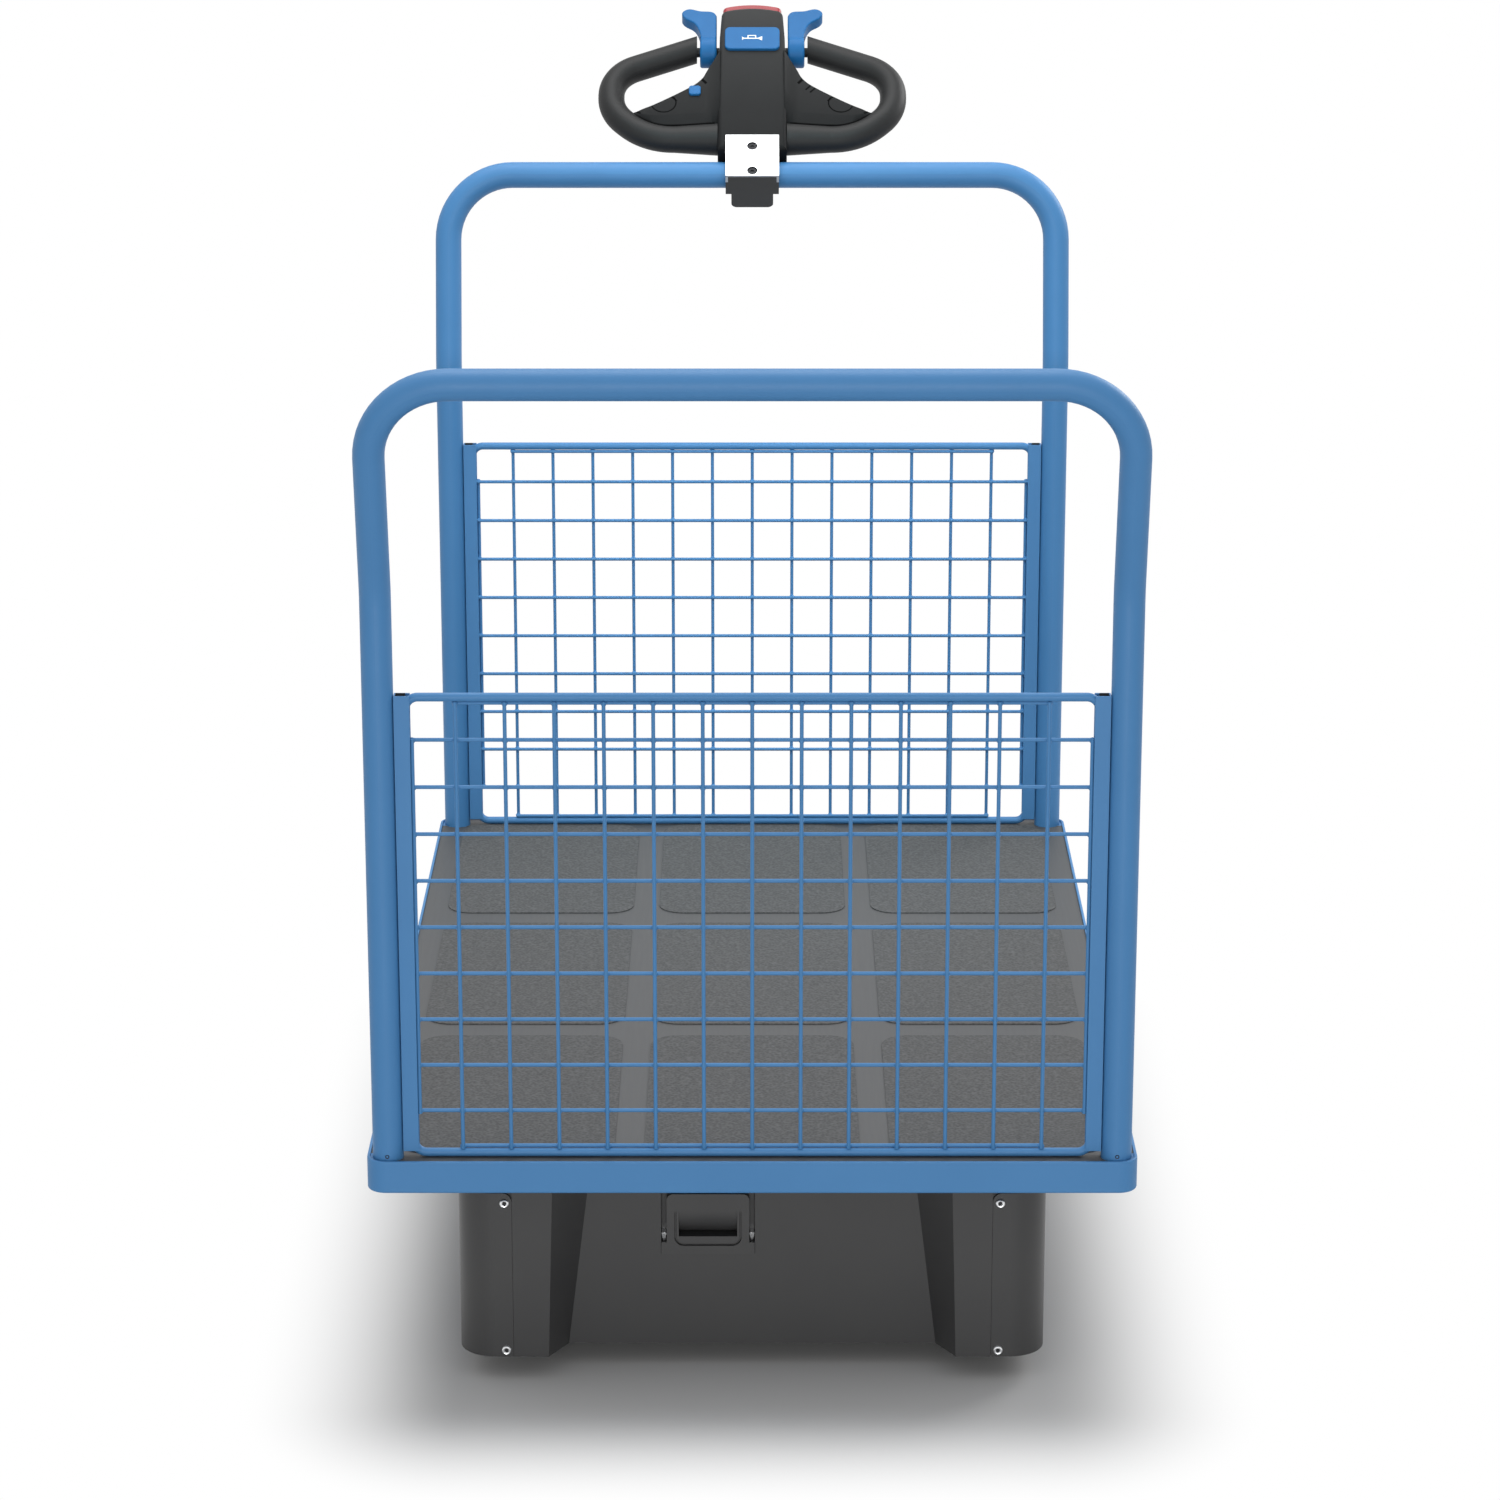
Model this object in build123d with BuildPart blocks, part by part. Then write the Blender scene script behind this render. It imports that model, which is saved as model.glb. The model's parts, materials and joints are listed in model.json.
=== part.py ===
from build123d import *
import os
from math import cos, radians, sin, tan

# Electric platform cart: a steel framed deck between two tubular end bows with wire panels,
# a drive unit with two hub-motor wheels at the front and two swivel castors at the rear,
# steered by a control head that is clamped to the rear bow. Millimetres, +X forward, +Z up,
# the origin on the floor under the middle of the whole cart.

# Fits shared by all pieces
seat_gap = 0.3
bearing_gap = 0.05
touch_gap = 0.05

# Deck
deck_length = 1200
deck_width = 800
deck_height = 275
rim_height = 35
rim_wall = 3
rim_radius = 20
rim_edge_radius = 2.5
rim_top_radius = 1.2
flange_width = 30
panel_thickness = 18
panel_drop = 2
corner_block = 27
pad_rows = 3
pad_margin_along = 26.5
pad_margin_across = 28.5
pad_space_along = 38
pad_space_across = 31
pad_radius = 30
pad_thickness = 1.2
member_wall = 3
castor_member_width = 150
middle_member_width = 80
drive_member_width = 150

# End bows
tube_diameter = 32
tube_wall = 2
bow_inset = 22
bow_rise = 828
kink_rise = 605
bow_lean = 14
kink_radius = 90
bow_bend_radius = 80

# Wire end panels
rod_diameter = 9
rod_bend_radius = 13
panel_slack = 4.7
panel_frame_height = 500
wire_diameter = 4
mesh_pitch = 50
channel_wall = 2
channel_depth = 16
channel_inset = 8

# Drive unit
drive_wheel_setback = 190
drive_wheel_y = 266
wheel_diameter = 200
tyre_width = 50
tyre_thickness = 22
tyre_bevel = 7
hub_width = 46
hub_dish = 5
drive_axle_diameter = 20
axle_collar_diameter = 34
bracket_thickness = 6
bracket_width = 70
bracket_foot = 40
wheel_side_gap = 6
drive_plate_thickness = 6
housing_front_setback = 60
housing_length = 260
ground_clearance = 30
housing_wall = 4
seam_y = 253
arch_inner_y = 221
cover_outer_y = 311
cover_height = 186
cover_corner_radius = 38
cover_notch_radius = 10
cover_tab_width = 18
cover_tab_height = 22
recess_depth = 35
recess_front_top = 210
recess_front_bottom = 216
recess_back_top = 171
recess_back_bottom = 196
battery_y = -47
battery_width = 99
bay_height = 100
battery_height = 68
battery_length = 155
battery_proud = 2
grip_width = 62
grip_height = 28
grip_depth = 24
grip_drop = 20
grip_lip = 14
groove_width = 2.7
groove_depth = 4
groove_margin = 3.5
groove_below = 9.5
groove_bend = 9
slot_width = 5.7
slot_height = 55
slot_depth = 12
battery_corner_radius = 7

# Rear castors
castor_setback = 160
castor_side_setback = 160
castor_trail = 55
castor_plate_length = 140
castor_plate_width = 110
castor_plate_thickness = 6
castor_boss_diameter = 68
castor_race_diameter = 76
castor_race_height = 10
kingpin_diameter = 20
fork_gap = 66
fork_wall = 5
fork_crown_clearance = 6
fork_crown_length = 96
fork_eye_radius = 18
castor_hub_width = 60
castor_hub_diameter = 44
castor_web = 14
castor_rim_wall = 6
castor_rib_count = 8
castor_rib = 5
castor_axle_diameter = 12
axle_head_diameter = 22
axle_head_height = 8

# Control head
head_angle = 40
head_width_neck = 86
head_width_middle = 82
head_width_nose = 77
head_start = 17
head_middle = 205
head_end = 253
head_depth_above = 31
head_depth_below = 26
head_edge_radius = 6
head_corner_radius = 9
head_end_arch = 6
clamp_width = 59.5
clamp_depth = 57
clamp_below = 28
clamp_above = 38
clamp_corner_radius = 7
clamp_shoulder_depth = 22
clamp_foot_width = 52
bracket_sheet = 3
bracket_flange = 13
bracket_hole = 13
bracket_hole_spacing = 40
wing_thickness = 22
loop_level = 8
loop_diameter = 33
loop_half_width = 177
loop_root_diameter = 40
loop_root_reach = 102
lever_pin_diameter = 12
lever_hub_diameter = 39
lever_hub_edge = 3
lever_axis = 196
lever_inner_y = 45
lever_hub_width = 21
lever_thickness = 16
lever_edge_radius = 2
horn_width = 69
horn_length = 37
horn_centre = 197
horn_height = 4
horn_radius = 7
control_edge_radius = 1.5
switch_width = 74
switch_length = 9
switch_depth = 46
switch_level = 3
switch_edge_radius = 3
switch_corner_radius = 6
toggle_y = -72
toggle_place = 118
toggle_size = 15
toggle_height = 7

# Levels above the floor
rim_bottom = deck_height - rim_height
flange_top = rim_bottom + rim_wall
panel_top = deck_height - panel_drop
panel_bottom = panel_top - panel_thickness
member_height = panel_bottom - rim_bottom
bow_top_z = panel_top + bow_rise
kink_z = panel_top + kink_rise
wheel_radius = wheel_diameter / 2
rim_outer_radius = wheel_radius - tyre_thickness
drive_plate_bottom = rim_bottom - drive_plate_thickness
housing_height = drive_plate_bottom - ground_clearance

# Places along the cart, with the whole length from bow to control head centred on the origin
tube_radius = tube_diameter / 2
leg_offset = deck_length / 2 - bow_inset
leg_y = deck_width / 2 - bow_inset
lean_reach = (bow_rise - kink_rise) * tan(radians(bow_lean))
head_cos = cos(radians(head_angle))
head_sin = sin(radians(head_angle))
switch_bottom = switch_level - switch_depth / 2
front_reach = leg_offset + lean_reach + tube_radius
head_reach = (
    (head_end + switch_length - switch_edge_radius) * head_cos
    - (switch_bottom + switch_edge_radius) * head_sin
    + switch_edge_radius
)
rear_reach = leg_offset + lean_reach + head_reach
deck_x = (rear_reach - front_reach) / 2
inner_length = deck_length - 2 * rim_wall
inner_width = deck_width - 2 * rim_wall
drive_wheel_offset = deck_length / 2 - drive_wheel_setback
castor_offset = deck_length / 2 - castor_setback
castor_y = deck_width / 2 - castor_side_setback
drive_x = deck_x + drive_wheel_offset
castor_x = deck_x - castor_offset
housing_front = deck_x + deck_length / 2 - housing_front_setback
housing_back = housing_front - housing_length
recess_x = housing_front - recess_depth
castor_wheel_x = castor_x - castor_trail
ends = (("front", 1), ("rear", -1))
sides = (("left", 1), ("right", -1))

os.makedirs("parts", exist_ok=True)

# Deck frame: a folded steel rim with an inward flange along its lower edge
with BuildPart() as deck_frame:
    with BuildSketch(Plane.XY.offset(rim_bottom)):
        with Locations((deck_x, 0)):
            RectangleRounded(deck_length, deck_width, rim_radius)
            RectangleRounded(inner_length, inner_width, rim_radius - rim_wall, mode=Mode.SUBTRACT)
    extrude(amount=rim_height)
    with BuildSketch(Plane.XY.offset(rim_bottom)):
        with Locations((deck_x, 0)):
            RectangleRounded(deck_length, deck_width, rim_radius)
            Rectangle(deck_length - 2 * flange_width, deck_width - 2 * flange_width, mode=Mode.SUBTRACT)
    extrude(amount=rim_wall)
    lower_face = deck_frame.faces().sort_by(Axis.Z)[0]
    fillet(lower_face.outer_wire().edges(), radius=rim_edge_radius)
    upper_face = deck_frame.faces().sort_by(Axis.Z)[-1]
    fillet(upper_face.outer_wire().edges(), radius=rim_top_radius)
deck_frame.part.label = "deck_frame"
export_step(deck_frame.part, "parts/deck_frame.step")

# Cross members: upturned channels between the flanges, which carry the panel on their edges
members = (
    # place along the deck, width
    (-castor_offset, castor_member_width),
    (0, middle_member_width),
    (drive_wheel_offset, drive_member_width),
)
member_length = deck_width - 2 * flange_width
with BuildPart() as cross_members:
    with BuildSketch(Plane.XZ.offset(-member_length / 2)):
        for place, width in members:
            with Locations((deck_x + place, rim_bottom + member_height / 2)):
                Rectangle(width, member_height)
            with Locations((deck_x + place, rim_bottom + member_height / 2 + member_wall)):
                Rectangle(width - 2 * member_wall, member_height, mode=Mode.SUBTRACT)
    extrude(amount=member_length)
cross_members.part.label = "cross_members"
export_step(cross_members.part, "parts/cross_members.step")

# Corner blocks: steel fillers that hold the bow legs in the corners of the rim
with BuildPart() as corner_blocks:
    with BuildSketch(Plane.XY.offset(flange_top)):
        with Locations((deck_x, 0)):
            RectangleRounded(inner_length, inner_width, rim_radius - rim_wall)
            Rectangle(inner_length - 2 * corner_block, inner_width, mode=Mode.SUBTRACT)
            Rectangle(inner_length, inner_width - 2 * corner_block, mode=Mode.SUBTRACT)
            with GridLocations(2 * leg_offset, 2 * leg_y, 2, 2):
                Circle(tube_radius + seat_gap, mode=Mode.SUBTRACT)
    extrude(amount=panel_top - flange_top)
corner_blocks.part.label = "corner_blocks"
export_step(corner_blocks.part, "parts/corner_blocks.step")

# Deck panel: one board inside the rim, notched at the corners round blocks and tubes
with BuildPart() as deck_panel:
    with BuildSketch(Plane.XY.offset(panel_bottom)):
        with Locations((deck_x, 0)):
            Rectangle(inner_length - 2 * seat_gap, inner_width - 2 * seat_gap)
            with GridLocations(inner_length, inner_width, 2, 2):
                notch = 2 * (corner_block + seat_gap)
                Rectangle(notch, notch, mode=Mode.SUBTRACT)
            with GridLocations(2 * leg_offset, 2 * leg_y, 2, 2):
                Circle(tube_radius + seat_gap, mode=Mode.SUBTRACT)
    extrude(amount=panel_thickness)
deck_panel.part.label = "deck_panel"
export_step(deck_panel.part, "parts/deck_panel.step")

# Deck pads: nine anti-slip fields on the panel
pad_length = (inner_length - 2 * pad_margin_along - (pad_rows - 1) * pad_space_along) / pad_rows
pad_width = (inner_width - 2 * pad_margin_across - (pad_rows - 1) * pad_space_across) / pad_rows
with BuildPart() as deck_pads:
    with BuildSketch(Plane.XY.offset(panel_top)):
        with Locations((deck_x, 0)):
            with GridLocations(pad_length + pad_space_along, pad_width + pad_space_across, pad_rows, pad_rows):
                RectangleRounded(pad_length, pad_width, pad_radius)
    extrude(amount=pad_thickness)
deck_pads.part.label = "deck_pads"
export_step(deck_pads.part, "parts/deck_pads.step")

# End bows: one bent tube each, upright to the kink and leaning outwards above it
for end, outward in ends:
    leg_x = deck_x + outward * leg_offset
    top_x = leg_x + outward * lean_reach
    with BuildPart() as bow:
        with BuildLine() as bow_path:
            FilletPolyline(
                (leg_x, -leg_y, flange_top),
                (leg_x, -leg_y, kink_z),
                (top_x, -leg_y, bow_top_z),
                (top_x, leg_y, bow_top_z),
                (leg_x, leg_y, kink_z),
                (leg_x, leg_y, flange_top),
                radius=[kink_radius, bow_bend_radius, bow_bend_radius, kink_radius],
            )
        with BuildSketch(Plane.XY.offset(flange_top)):
            with Locations((leg_x, -leg_y)):
                Circle(tube_radius)
                Circle(tube_radius - tube_wall, mode=Mode.SUBTRACT)
        sweep(path=bow_path.line)
    bow.part.label = f"{end}_bow"
    export_step(bow.part, f"parts/{end}_bow.step")

# Wire end panels: a bent rod frame in two channels on the bow legs, filled with welded wire
rod_radius = rod_diameter / 2
wire_radius = wire_diameter / 2
channel_outer_y = leg_y - tube_radius - seat_gap
panel_frame_width = 2 * (channel_outer_y - channel_wall - panel_slack)
upright_count = int((panel_frame_width - 2 * rod_diameter) / mesh_pitch)
rail_count = int((panel_frame_height - 2 * rod_diameter) / mesh_pitch)
frame_bottom = panel_top + seat_gap
frame_top = frame_bottom + panel_frame_height
frame_middle = (frame_bottom + frame_top) / 2
rod_y = panel_frame_width / 2 - rod_radius
wire_layer = wire_radius + touch_gap / 2
edge_wire_y = rod_y - rod_radius - wire_radius - touch_gap
end_wire_rise = panel_frame_height / 2 - rod_diameter - wire_radius - touch_gap
upright_length = panel_frame_height - 2 * rod_diameter
rail_span = (rail_count - 1) * mesh_pitch
field_width = (upright_count - 1) * mesh_pitch
channel_width = rod_diameter + 2 * seat_gap + 2 * channel_wall
for end, outward in ends:
    leg_x = deck_x + outward * leg_offset
    panel_plane = Plane(origin=(leg_x, 0, frame_middle), x_dir=(0, 1, 0), z_dir=(1, 0, 0))
    with BuildPart() as panel_frame:
        with BuildLine(panel_plane) as frame_path:
            frame_half_height = panel_frame_height / 2 - rod_radius
            FilletPolyline(
                (-rod_y, -frame_half_height),
                (rod_y, -frame_half_height),
                (rod_y, frame_half_height),
                (-rod_y, frame_half_height),
                radius=rod_bend_radius,
                close=True,
            )
        with BuildSketch(Plane(origin=frame_path.line @ 0, z_dir=frame_path.line % 0)):
            Circle(rod_radius)
        sweep(path=frame_path.line)
    panel_frame.part.label = f"{end}_panel_frame"
    export_step(panel_frame.part, f"parts/{end}_panel_frame.step")

    with BuildPart() as uprights:
        with BuildSketch(Plane.XY.offset(frame_middle - upright_length / 2)):
            with Locations((leg_x + outward * wire_layer, 0)):
                with GridLocations(mesh_pitch, mesh_pitch, 1, upright_count):
                    Circle(wire_radius)
        extrude(amount=upright_length)
        with BuildSketch(Plane.XY.offset(frame_middle - rail_span / 2 - wire_radius)):
            with Locations((leg_x + outward * wire_layer, 0)):
                with GridLocations(mesh_pitch, 2 * edge_wire_y, 1, 2):
                    Circle(wire_radius)
        extrude(amount=rail_span + wire_diameter)
    uprights.part.label = f"{end}_panel_uprights"
    export_step(uprights.part, f"parts/{end}_panel_uprights.step")

    with BuildPart() as rails:
        rail_half = rod_y - rod_radius - touch_gap
        with BuildSketch(Plane.XZ.offset(-rail_half)):
            with Locations((leg_x - outward * wire_layer, frame_middle)):
                with GridLocations(mesh_pitch, mesh_pitch, 1, rail_count):
                    Circle(wire_radius)
        extrude(amount=2 * rail_half)
        field_half = field_width / 2 + wire_radius
        with BuildSketch(Plane.XZ.offset(-field_half)):
            with Locations((leg_x - outward * wire_layer, frame_middle)):
                with GridLocations(mesh_pitch, 2 * end_wire_rise, 1, 2):
                    Circle(wire_radius)
        extrude(amount=2 * field_half)
    rails.part.label = f"{end}_panel_rails"
    export_step(rails.part, f"parts/{end}_panel_rails.step")

    with BuildPart() as channels:
        with BuildSketch(Plane.XY.offset(frame_bottom + channel_inset)):
            for across in (1, -1):
                with Locations((leg_x, across * (channel_outer_y - channel_depth / 2))):
                    Rectangle(channel_width, channel_depth)
                with Locations((leg_x, across * (channel_outer_y - channel_depth / 2 - channel_wall))):
                    Rectangle(channel_width - 2 * channel_wall, channel_depth, mode=Mode.SUBTRACT)
        extrude(amount=panel_frame_height - channel_inset - channel_wall)
    channels.part.label = f"{end}_panel_channels"
    export_step(channels.part, f"parts/{end}_panel_channels.step")

# Drive plate: the steel plate under the front cross member that carries the drive unit
drive_plate_width = 2 * (cover_outer_y - cover_corner_radius)
drive_plate_length = housing_length - 2 * cover_notch_radius
with BuildPart() as drive_plate:
    with BuildSketch(Plane.XY.offset(drive_plate_bottom)):
        with Locations(((housing_front + housing_back) / 2, 0)):
            Rectangle(drive_plate_length, drive_plate_width)
    extrude(amount=drive_plate_thickness)
drive_plate.part.label = "drive_plate"
export_step(drive_plate.part, "parts/drive_plate.step")

# Drive housing: the moulded middle of the unit, with a recessed front panel between slanted
# walls, a bay for the battery and open wheel arches at both sides
bay_bottom = drive_plate_bottom - bay_height - 2 * seat_gap
battery_front = recess_x + battery_proud
battery_back = battery_front - battery_length
recess_sections = (
    # level, half width at the front face, half width at the recessed panel
    (ground_clearance, recess_front_bottom, recess_back_bottom),
    (drive_plate_bottom, recess_front_top, recess_back_top),
)
arch_length = housing_length - 2 * housing_wall
arch_width = seam_y - arch_inner_y
with BuildPart() as drive_housing:
    with BuildSketch(Plane.XY.offset(ground_clearance)):
        with Locations(((housing_front + housing_back) / 2, 0)):
            Rectangle(housing_length, 2 * seam_y)
    extrude(amount=housing_height)
    for level, front_half, back_half in recess_sections:
        with BuildSketch(Plane.XY.offset(level)):
            with BuildLine():
                Polyline(
                    (housing_front + recess_depth, front_half),
                    (housing_front, front_half),
                    (recess_x, back_half),
                    (recess_x, -back_half),
                    (housing_front, -front_half),
                    (housing_front + recess_depth, -front_half),
                    close=True,
                )
            make_face()
    loft(ruled=True, mode=Mode.SUBTRACT)
    with BuildSketch(Plane.XY.offset(ground_clearance)):
        with Locations(((housing_front + housing_back) / 2, 0)):
            with GridLocations(1, arch_inner_y + seam_y, 1, 2):
                Rectangle(arch_length, arch_width)
    extrude(amount=housing_height, mode=Mode.SUBTRACT)
    with BuildSketch(Plane.XY.offset(bay_bottom)):
        with Locations(((housing_front + battery_back - seat_gap) / 2, battery_y)):
            Rectangle(housing_front - battery_back + seat_gap, battery_width + 2 * seat_gap)
    extrude(amount=drive_plate_bottom - bay_bottom, mode=Mode.SUBTRACT)
    tab_x = housing_length / 2 - 1.5 * housing_wall
    tab_middle = cover_height - cover_tab_height
    with BuildSketch(Plane.XY.offset(ground_clearance)):
        with Locations(((housing_front + housing_back) / 2, 0)):
            with GridLocations(2 * tab_x, 2 * seam_y, 2, 2):
                Rectangle(housing_wall, 2 * cover_tab_width)
    extrude(amount=cover_tab_height)
    with BuildSketch(Plane.XY.offset(ground_clearance + tab_middle)):
        with Locations(((housing_front + housing_back) / 2, 0)):
            with GridLocations(2 * tab_x, 2 * seam_y, 2, 2):
                Rectangle(housing_wall, 2 * cover_tab_width)
    extrude(amount=cover_tab_height)
drive_housing.part.label = "drive_housing"
export_step(drive_housing.part, "parts/drive_housing.step")

# Wheel covers: removable moulded shells over the outer half of each arch
for side, across in sides:
    cover_inner_y = seam_y + seat_gap
    cover_wall = housing_wall - seat_gap
    cover_middle = (housing_front + housing_back) / 2
    with BuildPart() as cover:
        with BuildSketch(Plane.XY.offset(ground_clearance)):
            with Locations((cover_middle, 0)):
                RectangleRounded(housing_length, 2 * cover_outer_y, cover_corner_radius)
                RectangleRounded(
                    housing_length - 2 * cover_wall,
                    2 * (cover_outer_y - cover_wall),
                    cover_corner_radius - cover_wall,
                    mode=Mode.SUBTRACT,
                )
            with Locations((cover_middle, -across * (cover_outer_y - cover_inner_y))):
                Rectangle(housing_length, 2 * cover_outer_y, mode=Mode.SUBTRACT)
        extrude(amount=cover_height)
        top_edges = cover.edges().filter_by(Axis.X).group_by(Axis.Z)[-1]
        seam_edges = top_edges.group_by(lambda edge: abs(edge.center().Y))[0]
        fillet(seam_edges, radius=cover_notch_radius)
    cover.part.label = f"wheel_cover_{side}"
    export_step(cover.part, f"parts/wheel_cover_{side}.step")

# Battery pack: a block that slides into the bay, with a scooped grip, a groove round it and slots
# for the catches at both sides
battery_bottom = bay_bottom + seat_gap
battery_top = battery_bottom + battery_height
grip_top = battery_top - grip_drop
grip_bottom = grip_top - grip_height
battery_plane = Plane(origin=(battery_front, battery_y, 0), x_dir=(0, 1, 0), z_dir=(1, 0, 0))
with BuildPart() as battery_pack:
    with BuildSketch(battery_plane):
        with Locations((0, battery_bottom + battery_height / 2)):
            Rectangle(battery_width, battery_height)
    extrude(amount=-battery_length)
    with BuildSketch(battery_plane):
        for across in (1, -1):
            with Locations((across * (battery_width - slot_width) / 2, battery_top - slot_height / 2)):
                Rectangle(slot_width, slot_height)
    extrude(amount=-slot_depth, mode=Mode.SUBTRACT)
    plate_corners = battery_pack.edges().filter_by(Axis.X).group_by(Axis.Z)[-1].group_by(SortBy.LENGTH)[0]
    fillet(plate_corners, radius=battery_corner_radius)
    with BuildSketch(Plane.XZ.offset(-battery_y)):
        with BuildLine():
            Polyline(
                (battery_front, grip_top),
                (battery_front - grip_depth, grip_bottom + grip_lip),
                (battery_front - grip_depth, grip_bottom),
                (battery_front, grip_bottom),
                close=True,
            )
        make_face()
    extrude(amount=grip_width / 2, both=True, mode=Mode.SUBTRACT)
    with BuildSketch(battery_plane):
        with BuildLine():
            groove_half = grip_width / 2 + groove_margin
            FilletPolyline(
                (-groove_half, grip_top),
                (-groove_half, grip_bottom - groove_below),
                (groove_half, grip_bottom - groove_below),
                (groove_half, grip_top),
                radius=groove_bend,
            )
        trace(line_width=groove_width)
    extrude(amount=-groove_depth, mode=Mode.SUBTRACT)
battery_pack.part.label = "battery_pack"
export_step(battery_pack.part, "parts/battery_pack.step")

# Drive brackets: hanging plates that carry the stub axles inside the arches
bracket_y = drive_wheel_y - tyre_width / 2 - wheel_side_gap - bracket_thickness / 2
bracket_height = drive_plate_bottom - wheel_radius + bracket_foot
with BuildPart() as drive_brackets:
    with BuildSketch(Plane.XY.offset(drive_plate_bottom - bracket_height)):
        with Locations((drive_x, 0)):
            with GridLocations(1, 2 * bracket_y, 1, 2):
                Rectangle(bracket_width, bracket_thickness)
    extrude(amount=bracket_height)
    foot_edges = drive_brackets.edges().filter_by(Axis.Y).group_by(Axis.Z)[0]
    fillet(foot_edges, radius=bracket_width / 3)
    with BuildSketch(Plane.XZ):
        with Locations((drive_x, wheel_radius)):
            Circle(drive_axle_diameter / 2 + bearing_gap)
    extrude(amount=deck_width / 2, both=True, mode=Mode.SUBTRACT)
drive_brackets.part.label = "drive_brackets"
export_step(drive_brackets.part, "parts/drive_brackets.step")

# Drive wheels: a rubber tyre on a hub motor that turns on a fixed stub axle
tyre_half = tyre_width / 2
hub_half = hub_width / 2
axle_radius = drive_axle_diameter / 2
for side, across in sides:
    wheel_middle = (drive_x, across * drive_wheel_y, wheel_radius)
    wheel_plane = Plane(origin=wheel_middle, x_dir=(1, 0, 0), z_dir=(0, -across, 0))
    inner_end = drive_wheel_y - bracket_y + bracket_thickness / 2
    with BuildPart() as axle:
        with BuildSketch(wheel_plane.offset(-hub_half + 2 * hub_dish)):
            Circle(axle_radius)
        extrude(amount=inner_end + hub_half - 2 * hub_dish)
        with BuildSketch(wheel_plane.offset(hub_half + seat_gap)):
            Circle(axle_collar_diameter / 2)
        extrude(amount=inner_end - bracket_thickness - hub_half - seat_gap)
    axle.part.label = f"drive_axle_{side}"
    export_step(axle.part, f"parts/drive_axle_{side}.step")

    section_plane = Plane(origin=wheel_plane.origin, x_dir=(0, -across, 0), z_dir=(1, 0, 0))
    wheel_axis = Axis(wheel_plane.origin, (0, 1, 0))
    with BuildPart() as hub:
        with BuildSketch(section_plane):
            with BuildLine():
                Polyline(
                    (-hub_half, 0),
                    (-hub_half, rim_outer_radius / 2),
                    (-hub_half + hub_dish, rim_outer_radius / 2 + hub_dish),
                    (-hub_half + hub_dish, rim_outer_radius - 2 * hub_dish),
                    (-hub_half, rim_outer_radius - hub_dish),
                    (-hub_half, rim_outer_radius),
                    (hub_half, rim_outer_radius),
                    (hub_half, axle_radius + bearing_gap),
                    (-hub_half + hub_dish, axle_radius + bearing_gap),
                    (-hub_half + hub_dish, 0),
                    close=True,
                )
            make_face()
        revolve(axis=wheel_axis)
    hub.part.label = f"drive_hub_{side}"
    export_step(hub.part, f"parts/drive_hub_{side}.step")

    with BuildPart() as tyre:
        with BuildSketch(section_plane):
            with BuildLine():
                Polyline(
                    (-tyre_half, rim_outer_radius),
                    (-tyre_half, wheel_radius - tyre_bevel),
                    (-tyre_half + tyre_bevel, wheel_radius),
                    (tyre_half - tyre_bevel, wheel_radius),
                    (tyre_half, wheel_radius - tyre_bevel),
                    (tyre_half, rim_outer_radius),
                    close=True,
                )
            make_face()
        revolve(axis=wheel_axis)
    tyre.part.label = f"drive_tyre_{side}"
    export_step(tyre.part, f"parts/drive_tyre_{side}.step")

# Castor plates: bolted under the rear cross member, with the boss of the swivel race
castor_plate_bottom = rim_bottom - castor_plate_thickness
fork_crown_bottom = wheel_diameter + fork_crown_clearance
fork_crown_top = fork_crown_bottom + fork_wall
race_top = fork_crown_top + castor_race_height
kingpin_top = castor_plate_bottom - seat_gap
with BuildPart() as castor_plates:
    with BuildSketch(Plane.XY.offset(castor_plate_bottom)):
        with Locations((castor_x, 0)):
            with GridLocations(1, 2 * castor_y, 1, 2):
                RectangleRounded(castor_plate_length, castor_plate_width, castor_plate_thickness)
    extrude(amount=castor_plate_thickness)
    with BuildSketch(Plane.XY.offset(race_top + seat_gap)):
        with Locations((castor_x, 0)):
            with GridLocations(1, 2 * castor_y, 1, 2):
                Circle(castor_boss_diameter / 2)
                Circle(kingpin_diameter / 2 + bearing_gap, mode=Mode.SUBTRACT)
    extrude(amount=castor_plate_bottom - race_top - seat_gap)
castor_plates.part.label = "castor_plates"
export_step(castor_plates.part, "parts/castor_plates.step")

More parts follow.
